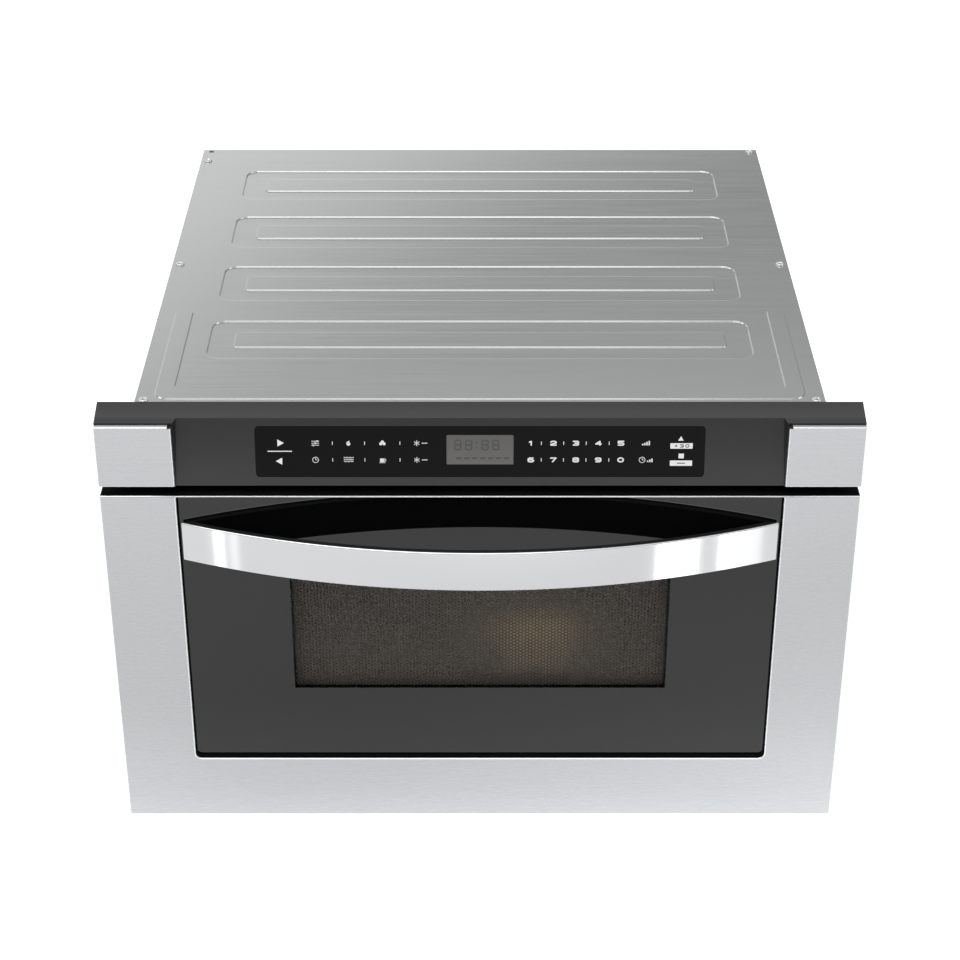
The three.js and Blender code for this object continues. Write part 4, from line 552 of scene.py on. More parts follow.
NODE_FINISHES = {
    "side_steel": ["side_panel_left", "side_panel_right"],
    "galvanised": [
        "base_plate", "rear_panel", "cavity_support", "waveguide", "magnetron_yoke", "lamp_holder",
        "rail_bracket_left", "rail_bracket_right", "drawer_arm_left", "drawer_arm_right", "drive_carrier",
    ],
    "black_plastic": ["cord_gland", "choke_ring", "fan_frame", "fan_rotor"],
    "black_paint": ["face_flange"],
    "cavity_enamel": ["cavity_shell", "door_back_panel", "drawer_tub"],
    "mica": ["stirrer_cover"],
    "white_plastic": ["stirrer_motor", "interlock_left", "interlock_right"],
    "bright_steel": [
        "stirrer", "slide_outer_left", "slide_outer_right", "slide_middle_left", "slide_middle_right",
        "slide_inner_left", "slide_inner_right", "cross_shaft", "drawer_motor",
    ],
    "aluminium": ["magnetron_anode", "capacitor"],
    "lamination": ["transformer_core"],
    "copper": ["primary_winding", "secondary_winding"],
    "board": ["filter_board", "control_board"],
    "nylon": ["rack_left", "rack_right", "motor_pinion", "latch_hook_left", "latch_hook_right"],
    "lamp_glass": ["oven_lamp"],
    "clear_glass": ["inner_window"],
    "ceramic": ["ceramic_tray"],
    "touch": ["touch_glass"],
    "display": ["display_lens"],
}


# ----------------------------------------------------------------------------------------------
# Modelling helpers
# ----------------------------------------------------------------------------------------------

FACING_FRONT = Matrix.Rotation(radians(90), 4, "X")  # flat work in XY then faces -Y, with its top up
SHARP = radians(38)
CREASE = radians(25)
FLAT = radians(0.4)
TOUCHING = 0.001 * MM
S_STEPS = 5


def add_piece(name, bm, body, finish_name, stands_for=(), thickness=0.0, level=False):
    """Turns finished mesh work into a piece that rides on a body.

    A skin can be given a thickness, and a piece's large flats can be kept level beside rounded edges.
    """
    for edge in bm.edges:
        edge.smooth = edge.is_manifold and edge.calc_face_angle(0) < SHARP
    for face in bm.faces:
        face.smooth = True
    mesh = bpy.data.meshes.new(name)
    bm.to_mesh(mesh)
    bm.free()
    mesh.materials.append(finish(finish_name))
    piece = bpy.data.objects.new(name, mesh)
    bpy.context.scene.collection.objects.link(piece)
    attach(piece, body)
    if stands_for:
        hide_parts(*stands_for)
    if thickness:
        modifier = piece.modifiers.new("thickness", "SOLIDIFY")
        modifier.thickness = thickness
        modifier.offset = -1
    if level:
        modifier = piece.modifiers.new("level_flats", "WEIGHTED_NORMAL")
        modifier.keep_sharp = True
        modifier.weight = 80


def bevel(bm, geom, radius, segments, affect="EDGES", clamp=False):
    """Rounds edges or corners. Gives the new faces."""
    return bmesh.ops.bevel(bm, geom=geom, offset=radius, offset_type="OFFSET", segments=segments, profile=0.5,
                           affect=affect, clamp_overlap=clamp, material=-1)["faces"]


def inset(bm, face, width, rise=0.0):
    """Insets a face and lifts what is left of it."""
    bmesh.ops.inset_region(bm, faces=[face], thickness=width, depth=rise, use_even_offset=True,
                           use_boundary=True)


def outline_of(bm, face):
    """Takes a face away and leaves its edges."""
    edges = list(face.edges)
    bmesh.ops.delete(bm, geom=[face], context="FACES_ONLY")
    return edges


def extruded(bm, edges):
    """Doubles open edges in place, joined by faces. Gives the new vertices and edges."""
    made = bmesh.ops.extrude_edge_only(bm, edges=edges)["geom"]
    verts = [item for item in made if isinstance(item, bmesh.types.BMVert)]
    return verts, [item for item in made if isinstance(item, bmesh.types.BMEdge)
                   and all(v in verts for v in item.verts)]


def wall(bm, edges, depth):
    """Turns a wall down from open edges."""
    bmesh.ops.translate(bm, vec=-Z_AXIS * depth, verts=extruded(bm, edges)[0])


def close_holes(bm):
    bmesh.ops.holes_fill(bm, edges=[e for e in bm.edges if e.is_boundary], sides=0)


def face_outwards(bm):
    bmesh.ops.recalc_face_normals(bm, faces=bm.faces)


def face_up(face):
    if face.normal.z < 0:
        face.normal_flip()


def slice_at(bm, place, normal, clear=False):
    """Cuts the mesh along a plane and, if asked, takes away what lies beyond it and closes the cut."""
    parts = list(bm.verts) + list(bm.edges) + list(bm.faces)
    bmesh.ops.bisect_plane(bm, geom=parts, dist=TOUCHING, plane_co=place, plane_no=normal, clear_outer=clear)
    if clear:
        close_holes(bm)


def stand_up(bm, y):
    """Turns flat work upright, to face the front at this Y."""
    bmesh.ops.transform(bm, matrix=Matrix.Translation((0, y, 0)) @ FACING_FRONT, verts=bm.verts)


def rounded_plate(bm, low, high, radii, segments=6, level=0.0):
    """One flat face in XY with rounded corners: radii are for its lower and its upper corners."""
    before = set(bm.faces)
    size = Vector(high) - Vector(low)
    middle = (Vector(high) + Vector(low)) / 2
    place = Matrix.Translation((middle.x, middle.y, level)) @ Matrix.Diagonal((size.x, size.y, 1, 1))
    verts = bmesh.ops.create_grid(bm, x_segments=1, y_segments=1, size=0.5, matrix=place)["verts"]
    lower = [v for v in verts if v.co.y < middle.y]
    upper = [v for v in verts if v.co.y > middle.y]
    for corners, radius in zip((lower, upper), radii):
        bevel(bm, corners, radius, segments, "VERTICES")
    (face,) = set(bm.faces) - before
    face_up(face)
    return face


def step_walls(bm, face, run, rise):
    """Insets a face in steps along a smooth S, so that it ends this much higher."""
    for step in range(S_STEPS):
        first, second = step / S_STEPS, (step + 1) / S_STEPS
        climb = (3 * second**2 - 2 * second**3) - (3 * first**2 - 2 * first**3)
        inset(bm, face, run / S_STEPS, rise * climb)


def open_between(bm, outer, inner):
    """Takes two faces away and bridges their outlines."""
    bmesh.ops.bridge_loops(bm, edges=outline_of(bm, outer) + outline_of(bm, inner))


def block(bm, low, high, edge=0.0):
    """A box with rounded edges."""
    size = Vector(high) - Vector(low)
    middle = (Vector(high) + Vector(low)) / 2
    place = Matrix.Translation(middle) @ Matrix.Diagonal((*size, 1))
    verts = bmesh.ops.create_cube(bm, size=1, matrix=place)["verts"]
    if edge > 0:
        bevel(bm, list({e for v in verts for e in v.link_edges}), edge, 2)


def merged(node):
    """A solid's own shape with its loose triangles joined into flats."""
    bm = bmesh.new()
    bm.from_mesh(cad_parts[node].data)
    bmesh.ops.remove_doubles(bm, verts=bm.verts, dist=2 * TOUCHING)
    bmesh.ops.dissolve_limit(bm, angle_limit=FLAT, verts=bm.verts, edges=bm.edges)
    return bm


def soften(bm, edge):
    """Rounds every edge that stands out."""
    bevel(bm, [e for e in bm.edges if e.is_manifold and e.calc_face_angle(0) > CREASE], edge, 2, clamp=True)


def fold_edges(bm, edges, radius):
    """Rounds the folds of a sheet and marks them for a painted highlight."""
    layer = bm.faces.layers.float[PAINTED_FOLD_HIGHLIGHT]
    for face in bevel(bm, edges, radius, 4):
        face[layer] = 1


# ----------------------------------------------------------------------------------------------
# Casing
# ----------------------------------------------------------------------------------------------

RING_COUNT = 4
RING_FIRST = 129.4 * MM
RING_PITCH = 110.8 * MM
RING_DEPTH = 70.8 * MM
RING_WIDTH = 458 * MM
RING_BAND = 21.8 * MM
RING_CORNER = 12 * MM
RING_INNER_CORNER = 4 * MM
YOKE_WIDTH = 526 * MM
YOKE_FRONT = 56.8 * MM
YOKE_BACK = 222 * MM
YOKE_BAND = 15.2 * MM
YOKE_TIP = 0.98  # the tips' corner radius, in shares of half the band, so that an edge stays
SCREW_INSET = 7.2 * MM
SCREWS_LEFT = [56 * MM, 314 * MM, 558 * MM]
SCREWS_RIGHT = [56 * MM, 314 * MM, 582 * MM]
SCREW_RADIUS = 3.9 * MM
SLOT_INSET = 8.2 * MM
SLOT_ROW = 582.8 * MM
SLOT_SIZE = Vector((4.8, 4.4)) * MM
SLOT_CORNER = 0.6 * MM
BAND_MARGIN = 0.5 * MM  # flat sheet kept beside each band and inside the rim
BAND_SEGMENTS = 10
CASING_RIM = 1 * MM
CASING_CORNER = 1.2 * MM
CASING_FOLD = 0.4 * MM
SCREW_STEPS = (  # from the head's rim to its middle: run and rise, in millimetres
    (0.05, 0.9), (0.25, 0.45), (0.45, 0.3), (0.5, 0.1), (0.35, 0.0), (0.2, -0.35), (0.35, -0.55),
)
CROSS_ARM = 0.35 * MM  # half the width of the cross recess
CROSS_REACH = 1.45 * MM
CROSS_DEPTH = 0.6 * MM
CROSS_TAPER = 0.06 * MM
CROSS_TURN = radians(24)


def rim_of_new(bm, known):
    """The open edges that were made since the known ones."""
    return [edge for edge in bm.edges if edge.is_boundary and edge not in known]


def ring_band(bm, front):
    """A rounded rectangular band pressed down into the sheet. Gives its outer outline."""
    known = set(bm.edges)
    half = RING_WIDTH / 2
    run, depth = sizes().press_run, sizes().press_depth
    reach = half + BAND_MARGIN
    outer = rounded_plate(bm, (-reach, front - BAND_MARGIN), (reach, front + RING_DEPTH + BAND_MARGIN),
                          (RING_CORNER + BAND_MARGIN,) * 2, BAND_SEGMENTS, CASING_TOP)
    inset(bm, outer, BAND_MARGIN)
    step_walls(bm, outer, run, -depth)
    outline = rim_of_new(bm, known)
    known = set(bm.edges)
    reach = RING_BAND - run
    island = rounded_plate(bm, (-half + reach, front + reach), (half - reach, front + RING_DEPTH - reach),
                           (RING_INNER_CORNER + run,) * 2, BAND_SEGMENTS, CASING_TOP - depth)
    step_walls(bm, island, run, depth)
    inset(bm, island, BAND_MARGIN)
    inner = rim_of_new(bm, known)
    bmesh.ops.bridge_loops(bm, edges=outline_of(bm, outer) + inner)
    return outline


def yoke_band(bm):
    """A U-shaped band that stands up round the front of the sheet. Gives its outline."""
    known = set(bm.edges)
    half = YOKE_WIDTH / 2 + BAND_MARGIN
    inner = YOKE_WIDTH / 2 - YOKE_BAND - BAND_MARGIN
    front = behind_face(YOKE_FRONT) - BAND_MARGIN
    across = behind_face(YOKE_FRONT + YOKE_BAND) + BAND_MARGIN
    back = behind_face(YOKE_BACK) + BAND_MARGIN
    corners = [(-half, front), (half, front), (half, back), (inner, back), (inner, across),
               (-inner, across), (-inner, back), (-half, back)]
    verts = [bm.verts.new((x, y, CASING_TOP)) for x, y in corners]
    before = set(bm.faces)
    bm.faces.new(verts)
    tip = (half - inner) / 2
    for group, radius in ((verts[:2], RING_CORNER + BAND_MARGIN), (verts[2:4] + verts[6:], tip * YOKE_TIP),
                          (verts[4:6], tip)):
        bevel(bm, group, radius, BAND_SEGMENTS, "VERTICES")
    (face,) = set(bm.faces) - before
    face_up(face)
    inset(bm, face, BAND_MARGIN)
    step_walls(bm, face, sizes().press_run, sizes().press_depth)
    return rim_of_new(bm, known)


def punched_slot(bm):
    """The small slot in the rear left corner. Gives its outline."""
    centre = Vector((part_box("top_cover")[0].x + SLOT_INSET, behind_face(SLOT_ROW)))
    half = SLOT_SIZE / 2
    slot = rounded_plate(bm, centre - half, centre + half, (SLOT_CORNER,) * 2, 3, CASING_TOP)
    return outline_of(bm, slot)


def casing_sheet():
    """The top cover's upper skin with its pressed bands and a turned-down rim."""
    low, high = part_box("top_cover")
    bm = bmesh.new()
    outlines = yoke_band(bm) + punched_slot(bm)
    for index in range(RING_COUNT):
        outlines += ring_band(bm, behind_face(RING_FIRST + index * RING_PITCH))
    rim = outline_of(bm, rounded_plate(bm, low.xy, high.xy, (CASING_CORNER,) * 2, 3, CASING_TOP))
    verts, inside = extruded(bm, rim)
    size = high - low
    shrink = Vector((1 - 2 * BAND_MARGIN / size.x, 1 - 2 * BAND_MARGIN / size.y, 1))
    bmesh.ops.scale(bm, vec=shrink, space=Matrix.Translation(-(low + high) / 2), verts=verts)
    bmesh.ops.triangle_fill(bm, use_beauty=True, edges=inside + outlines, normal=Z_AXIS)
    wall(bm, rim, CASING_RIM)
    bevel(bm, rim, CASING_FOLD, 3)
    face_outwards(bm)
    return bm


def screw(bm, place):
    """A dished pan-head screw with a cross recess."""
    head = bmesh.ops.create_circle(bm, cap_ends=True, segments=28, radius=SCREW_RADIUS, matrix=place)
    face = head["verts"][0].link_faces[0]
    for run, rise in SCREW_STEPS:
        inset(bm, face, run * MM, rise * MM)
    top = face.calc_center_median()
    verts = []
    for quarter in range(4):
        turn = Matrix.Rotation(CROSS_TURN + quarter * pi / 2, 4, "Z")
        for x, y in ((CROSS_ARM, CROSS_ARM), (CROSS_ARM, CROSS_REACH), (-CROSS_ARM, CROSS_REACH)):
            verts.append(bm.verts.new(top + turn @ Vector((x, y, 0))))
    cross = bm.faces.new(verts)
    edges = outline_of(bm, face) + list(cross.edges)
    bmesh.ops.triangle_fill(bm, use_beauty=True, edges=edges, normal=Z_AXIS)
    inset(bm, cross, CROSS_TAPER, -CROSS_DEPTH)


def cover_screws():
    low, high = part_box("top_cover")
    bm = bmesh.new()
    for x, rows in ((low.x + SCREW_INSET, SCREWS_LEFT), (high.x - SCREW_INSET, SCREWS_RIGHT)):
        for row in rows:
            screw(bm, Matrix.Translation((x, behind_face(row), CASING_TOP)))
    face_outwards(bm)
    return bm


class MICROWAVE_DRAWER_OT_casing(bpy.types.Operator):
    """Make the casing's top cover with its pressed bands and screws"""

    bl_idname = "microwave_drawer.casing"
    bl_label = "Casing"

    def execute(self, context):
        add_piece("casing_top", casing_sheet(), "chassis", "casing_steel", ["top_cover"],
                  sizes().sheet, level=True)
        add_piece("cover_screws", cover_screws(), "chassis", "screw_steel")
        return {"FINISHED"}


# ----------------------------------------------------------------------------------------------
# Drawer front
# ----------------------------------------------------------------------------------------------

WINDOW_HALF = 242.2 * MM
WINDOW_SILL = 60.3 * MM
WINDOW_TOP_RAIL = 1.6 * MM
WINDOW_CORNER = 5 * MM
WINDOW_RETURN = 1.6 * MM
WINDOW_FOLD = 1.1 * MM
FRONT_CORNER = 0.4 * MM  # what the front's corner radius has over its fold's
WINDOW_UPPER_CORNER = 1 * MM
SEAL_SIDE = 0.8 * MM
SEAL_SETBACK = 5.4 * MM  # of the raised rib
SEAL_RISE = 0.15 * MM
SEAL_SINK = 0.5 * MM  # into the front's top
RIB_RISE = 0.6 * MM
RIB_SINK = 0.4 * MM
RIB_EDGE = 0.3 * MM


def folded_front():
    """The steel front: one sheet folded back round its outline and round the window."""
    low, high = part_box("drawer_front_frame")
    fold = sizes().fold
    bm = bmesh.new()
    outer = rounded_plate(bm, (low.x, low.z), (high.x, high.z), (fold + FRONT_CORNER,) * 2, 4)
    window = rounded_plate(bm, (-WINDOW_HALF, WINDOW_SILL), (WINDOW_HALF, high.z - WINDOW_TOP_RAIL),
                           (WINDOW_CORNER, WINDOW_UPPER_CORNER), 4)
    outer_edges, window_edges = list(outer.edges), list(window.edges)
    open_between(bm, outer, window)
    wall(bm, outer_edges, high.y - low.y)
    wall(bm, window_edges, WINDOW_RETURN)
    face_outwards(bm)
    # The front's folds get a painted highlight.
    bm.faces.layers.float.new(PAINTED_FOLD_HIGHLIGHT)
    fold_edges(bm, outer_edges, fold)
    fold_edges(bm, window_edges, WINDOW_FOLD)
    stand_up(bm, low.y)
    return bm


def front_seal():
    """The black strip on top of the drawer front, with a raised rib along it."""
    low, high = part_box("drawer_front_frame")
    left, right = low.x + SEAL_SIDE, high.x - SEAL_SIDE
    bm = bmesh.new()
    block(bm, (left, low.y + SEAL_SIDE, high.z - SEAL_SINK), (right, high.y, high.z + SEAL_RISE))
    block(bm, (left, low.y + SEAL_SETBACK, high.z - RIB_SINK), (right, high.y, high.z + RIB_RISE), RIB_EDGE)
    return bm


class MICROWAVE_DRAWER_OT_front(bpy.types.Operator):
    """Make the drawer's folded steel front"""

    bl_idname = "microwave_drawer.front"
    bl_label = "Drawer front"

    def execute(self, context):
        add_piece("steel_front", folded_front(), "drawer", "front_steel",
                  ["drawer_front_frame"], sizes().sheet, level=True)
        add_piece("front_seal", front_seal(), "drawer", "rubber")
        return {"FINISHED"}


# ----------------------------------------------------------------------------------------------
# Window
# ----------------------------------------------------------------------------------------------

SCREEN_HALF = 154.5 * MM
SCREEN_SILL = 126 * MM
SCREEN_TOP = 250 * MM
SCREEN_SHEET = 0.4 * MM
PANE_RECESS = 4.35 * MM
PANE_THICKNESS = 4 * MM
PANE_GAP = 0.8 * MM
PANE_LIFT = 2 * MM
PANE_CORNER = 4 * MM
PANE_LOOK_DOWN = 6 * MM  # the clear part sits this much above the holes, which lie behind it
PANE_EDGE = 0.4 * MM
PANE_UPPER_CORNER = 0.6 * MM
SCREEN_SETBACK = 0.9 * MM  # of the perforated sheet behind its solid's front
PAN_SETBACK = 1.4 * MM
PAN_EDGE = 0.8 * MM
PAN_SHORT = 2 * MM  # how much the pan is shallower than its solid
PAN_SHEET = 0.6 * MM
PAN_CORNER = 4 * MM
PAN_LAP = 1.2 * MM  # of the perforated sheet over the pan
PAN_HOLE_CORNER = 0.5 * MM
GASKET_SETBACK = 2.5 * MM
GASKET_LAP = 3 * MM
GASKET_DROP = 0.9 * MM  # its top below the front's
GASKET_GAP = 0.05 * MM
GASKET_CORNERS = 4 * MM, 0.4 * MM  # lower and upper


def perforated_sheet():
    """A sheet of six-sided cells, each with a hole, in columns that are half a pitch apart."""
    pitch = sizes().hole_pitch
    column = pitch * sqrt(3) / 2
    cell = pitch / sqrt(3)
    rim = (pitch - sizes().hole_size) / 2
    bm = bmesh.new()
    columns = int(2 * SCREEN_HALF / column) // 2 * 2
    rows = int((SCREEN_TOP - SCREEN_SILL) / pitch)
    middle = (SCREEN_SILL + SCREEN_TOP) / 2
    start = Vector((-(columns - 1) * column / 2, middle - (rows - 0.5) * pitch / 2, 0))
    for offset in (Vector((0, 0, 0)), Vector((column, pitch / 2, 0))):
        place = Matrix.Translation(start + offset) @ Matrix.Rotation(radians(30), 4, "Z")
        hexagon = bmesh.ops.create_circle(bm, cap_ends=True, segments=6, radius=cell, matrix=place)
        face = hexagon["verts"][0].link_faces[0]
        inset(bm, face, rim)
        bmesh.ops.delete(bm, geom=[face], context="FACES")
    for count, step in ((rows, Vector((0, pitch, 0))), (columns // 2, Vector((2 * column, 0, 0)))):
        unit = list(bm.verts) + list(bm.edges) + list(bm.faces)
        for index in range(1, count):
            copy = bmesh.ops.duplicate(bm, geom=unit)["geom"]
            verts = [item for item in copy if isinstance(item, bmesh.types.BMVert)]
            bmesh.ops.translate(bm, vec=step * index, verts=verts)
    bmesh.ops.remove_doubles(bm, verts=bm.verts, dist=pitch * 0.02)
    for face in bm.faces:
        face_up(face)
    stand_up(bm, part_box("rf_screen")[0].y + SCREEN_SETBACK)
    return bm


def screen_pan():
    """The painted pan round the perforated sheet, open where the holes are."""
    low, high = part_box("rf_screen")
    half = SCREEN_HALF - PAN_LAP
    bm = bmesh.new()
    outer = rounded_plate(bm, (low.x, low.z), (high.x, high.z), (PAN_CORNER,) * 2, 4)
    hole = rounded_plate(bm, (-half, SCREEN_SILL + PAN_LAP), (half, SCREEN_TOP - PAN_LAP),
                         (PAN_HOLE_CORNER,) * 2, 4)
    outer_edges = list(outer.edges)
    open_between(bm, outer, hole)
    wall(bm, outer_edges, high.y - low.y - PAN_SHORT)
    face_outwards(bm)
    bevel(bm, outer_edges, PAN_EDGE, 2)
    stand_up(bm, low.y + PAN_SETBACK)
    return bm


def pane_corners(grow=0.0):
    """Lower left and upper right corners of the door glass, in X and Z."""
    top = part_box("drawer_front_frame")[1].z - WINDOW_TOP_RAIL
    low = Vector((-WINDOW_HALF + PANE_GAP - grow, WINDOW_SILL + PANE_LIFT - grow))
    return low, Vector((-low.x, top + grow))


def door_pane():
    bm = bmesh.new()
    outline = list(rounded_plate(bm, *pane_corners(), (PANE_CORNER, PANE_UPPER_CORNER)).edges)
    wall(bm, outline, PANE_THICKNESS)
    close_holes(bm)
    face_outwards(bm)
    bevel(bm, outline, PANE_EDGE, 3)
    stand_up(bm, behind_face(PANE_RECESS))
    return bm


def pane_gasket():
    """The black frame that holds the glass behind the steel."""
    low = Vector((-WINDOW_HALF - GASKET_LAP, WINDOW_SILL - GASKET_LAP))
    high = (-low.x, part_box("drawer_front_frame")[1].z - GASKET_DROP)
    bm = bmesh.new()
    outer = rounded_plate(bm, low, high, GASKET_CORNERS)
    inner = rounded_plate(bm, *pane_corners(GASKET_GAP), (PANE_CORNER + GASKET_GAP, PANE_UPPER_CORNER))
    outlines = list(outer.edges) + list(inner.edges)
    open_between(bm, outer, inner)
    wall(bm, outlines, PANE_RECESS + PANE_THICKNESS - GASKET_SETBACK)
    face_outwards(bm)
    stand_up(bm, behind_face(GASKET_SETBACK))
    return bm


class MICROWAVE_DRAWER_OT_window(bpy.types.Operator):
    """Make the door glass, its gasket, the perforated screen and the pan behind it"""

    bl_idname = "microwave_drawer.window"
    bl_label = "Window"

    def execute(self, context):
        add_piece("perforated_screen", perforated_sheet(), "drawer", "screen_paint",
                  ["rf_screen"], SCREEN_SHEET)
        add_piece("screen_pan", screen_pan(), "drawer", "black_paint", ["rf_screen"],
                  PAN_SHEET)
        add_piece("door_pane", door_pane(), "drawer", "door_glass", ["door_glass"], level=True)
        add_piece("pane_gasket", pane_gasket(), "drawer", "rubber")
        return {"FINISHED"}


# ----------------------------------------------------------------------------------------------
# Handle
# ----------------------------------------------------------------------------------------------

BAR_THICKNESS = 3 * MM
BACKING_THICKNESS = 5 * MM
FOOT_WIDTH = 17 * MM
SEAT = 0.3 * MM
BAR_CROWN = 0.5 * MM  # how much the bar's face falls away to its edges
BAR_EDGE = 1.1 * MM
BACKING_EDGE = 0.8 * MM
BACKING_SILL = 2.6 * MM  # its lower edge above the bar's
BACKING_DROP = 1.2 * MM  # its upper edge below the bar's
BACKING_SHORT = 2 * MM  # its ends inside the bar's
FOOT_EDGE = 0.7 * MM
FOOT_SILL = 2 * MM
FOOT_DROP = 3.6 * MM
FOOT_TUCK = 1 * MM  # how far a foot goes into the backing
BOW_STEPS = 96


def bow_line():
    """The handle bar's half span, and the radius and the centre's Y of its outer face."""
    low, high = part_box("handle_bar")
    reach = STEEL_FACE - low.y
    radius = (high.x**2 + reach**2) / (2 * reach)
    return high.x, radius, STEEL_FACE + radius - reach


def bowed_bar(low, high, outer, thickness, centre, half_span, crown, edge):
    """A bowed strip: its section is spun round the bow's centre and its ends are closed."""
    turn = atan2(half_span, sqrt(outer**2 - half_span**2))
    bm = bmesh.new()
    section = rounded_plate(bm, (-outer, low), (thickness - outer, high), (edge, edge), 4)
    verts = list(section.verts)
    edges = outline_of(bm, section)
    middle = (low + high) / 2
    for vert in verts:
        if vert.co.x < -outer + edge * 1.01:  # on the outer face or its corners
            share = (vert.co.y - middle) / ((high - low) / 2)
            vert.co.x += crown * share**2
    upright = Matrix.Rotation(radians(90), 4, "X")
    start = Matrix.Rotation(radians(90) - turn, 4, "Z")
    place = Matrix.Translation((0, centre, 0)) @ start @ upright
    bmesh.ops.transform(bm, matrix=place, verts=verts)
    bmesh.ops.spin(bm, geom=verts + edges, cent=(0, centre, 0), axis=Z_AXIS, angle=2 * turn, steps=BOW_STEPS,
                   use_merge=False, use_normal_flip=False, use_duplicate=False)
    close_holes(bm)
    face_outwards(bm)
    return bm


def foot(bm, side, radius, centre):
    """A foot behind an end of the bar: its front follows the bow and its back meets the glass."""
    low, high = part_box("handle_bar")
    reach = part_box("handle_backing")[1].x
    near, far = sorted((side * (reach - FOOT_WIDTH), side * reach))
    known = set(bm.verts)
    front, back = behind_face(0), behind_face(PANE_RECESS)
    block(bm, (near, front, low.z + FOOT_SILL), (far, back, high.z - FOOT_DROP), FOOT_EDGE)
    for vert in set(bm.verts) - known:
        share = (back - vert.co.y) / (back - front)
        bowed = centre - sqrt(radius**2 - vert.co.x**2)
        vert.co.y += share * (bowed - front)


def handle_back():
    """The band behind the bar, cut off at the glass, and its feet."""
    low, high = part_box("handle_bar")
    half, radius, centre = bow_line()
    outer = radius - BAR_THICKNESS - SEAT
    bm = bowed_bar(low.z + BACKING_SILL, high.z - BACKING_DROP, outer, BACKING_THICKNESS, centre,
                   half - BACKING_SHORT, 0, BACKING_EDGE)
    slice_at(bm, (0, behind_face(PANE_RECESS), 0), Y_AXIS, clear=True)
    for side in (-1, 1):
        foot(bm, side, outer - FOOT_TUCK, centre)
    return bm


class MICROWAVE_DRAWER_OT_handle(bpy.types.Operator):
    """Make the bowed handle and its black backing"""

    bl_idname = "microwave_drawer.handle"
    bl_label = "Handle"

    def execute(self, context):
        low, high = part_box("handle_bar")
        half, radius, centre = bow_line()
        bar = bowed_bar(low.z, high.z, radius, BAR_THICKNESS, centre, half, BAR_CROWN, BAR_EDGE)
        add_piece("handle_front", bar, "drawer", "handle_steel", ["handle_bar"], level=True)
        add_piece("handle_back", handle_back(), "drawer", "handle_back", ["handle_backing"])
        return {"FINISHED"}


# ----------------------------------------------------------------------------------------------
# Control panel
# ----------------------------------------------------------------------------------------------

CAP_LIP = 5.2 * MM
CAP_DROP = 2 * MM
CAP_NOTCH = 2.8 * MM
CAP_RETURN = 1.6 * MM
PANEL_SETBACK = 2.5 * MM
PANEL_LEAN = radians(8.8)
PANEL_SEAT = 5.4 * MM
PANEL_SEAT_RISE = 1 * MM
CAP_RIM = 1.4 * MM  # the inner return and the notch end this far below the cap's top
NEAR = 0.1 * MM  # slack in picking faces by their place


def panel_place():
    """From the leaning panel's own frame, X across, Y up its slope and Z out of it."""
    foot_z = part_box("control_panel_housing")[0].z
    up = Vector((0, sin(PANEL_LEAN), cos(PANEL_LEAN)))
    out = Vector((0, -cos(PANEL_LEAN), sin(PANEL_LEAN)))
    origin = Vector((0, behind_face(PANEL_SETBACK), foot_z))
    place = Matrix.Identity(4)
    for column, axis in enumerate((X_AXIS, up, out, origin)):
        place[0][column], place[1][column], place[2][column] = axis
    return place


def cap_top():
    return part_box("trim_cap_left")[1].z - CAP_DROP


def panel_top_line():
    """The front end of the housing's sloping top, and its climb per metre of depth."""
    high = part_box("control_panel_housing")[1]
    start = Vector((0, behind_face(PANEL_SEAT), cap_top() + PANEL_SEAT_RISE))
    return start, (high.z - start.z) / (high.y - start.y)


def panel_fold():
    """Y and Z of the edge where the leaning face meets the sloping top."""
    foot_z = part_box("control_panel_housing")[0].z
    start, climb = panel_top_line()
    lean = tan(PANEL_LEAN)
    ahead = behind_face(PANEL_SETBACK) + lean * (start.z - foot_z) - start.y
    depth = ahead / (1 - lean * climb)
    return start.y + depth, start.z + climb * depth


def panel_housing():
    """The housing's own shape, with a deeper seat for the caps' folds and a steeper top.

    The solid's seat ends 2 to 4 mm behind the steel face and starts 1.5 mm below the caps' tops.
    """
    lip_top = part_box("trim_cap_left")[1].z
    lip_foot = lip_top - 1.5 * MM
    start, climb = panel_top_line()
    bm = merged("control_panel_housing")
    back = [v for v in bm.verts if behind_face(2 * MM) < v.co.y < behind_face(4 * MM) and v.co.z > lip_foot]
    shift = start.y - max(v.co.y for v in back)
    bmesh.ops.translate(bm, vec=Y_AXIS * shift, verts=back)
    under = [v for v in bm.verts if lip_foot < v.co.z < lip_top - 0.3 * MM]
    bmesh.ops.translate(bm, vec=-Z_AXIS * CAP_DROP, verts=under)
    slice_at(bm, start, (0, -climb, 1), clear=True)
    face_outwards(bm)
    soften(bm, sizes().edge)
    return bm


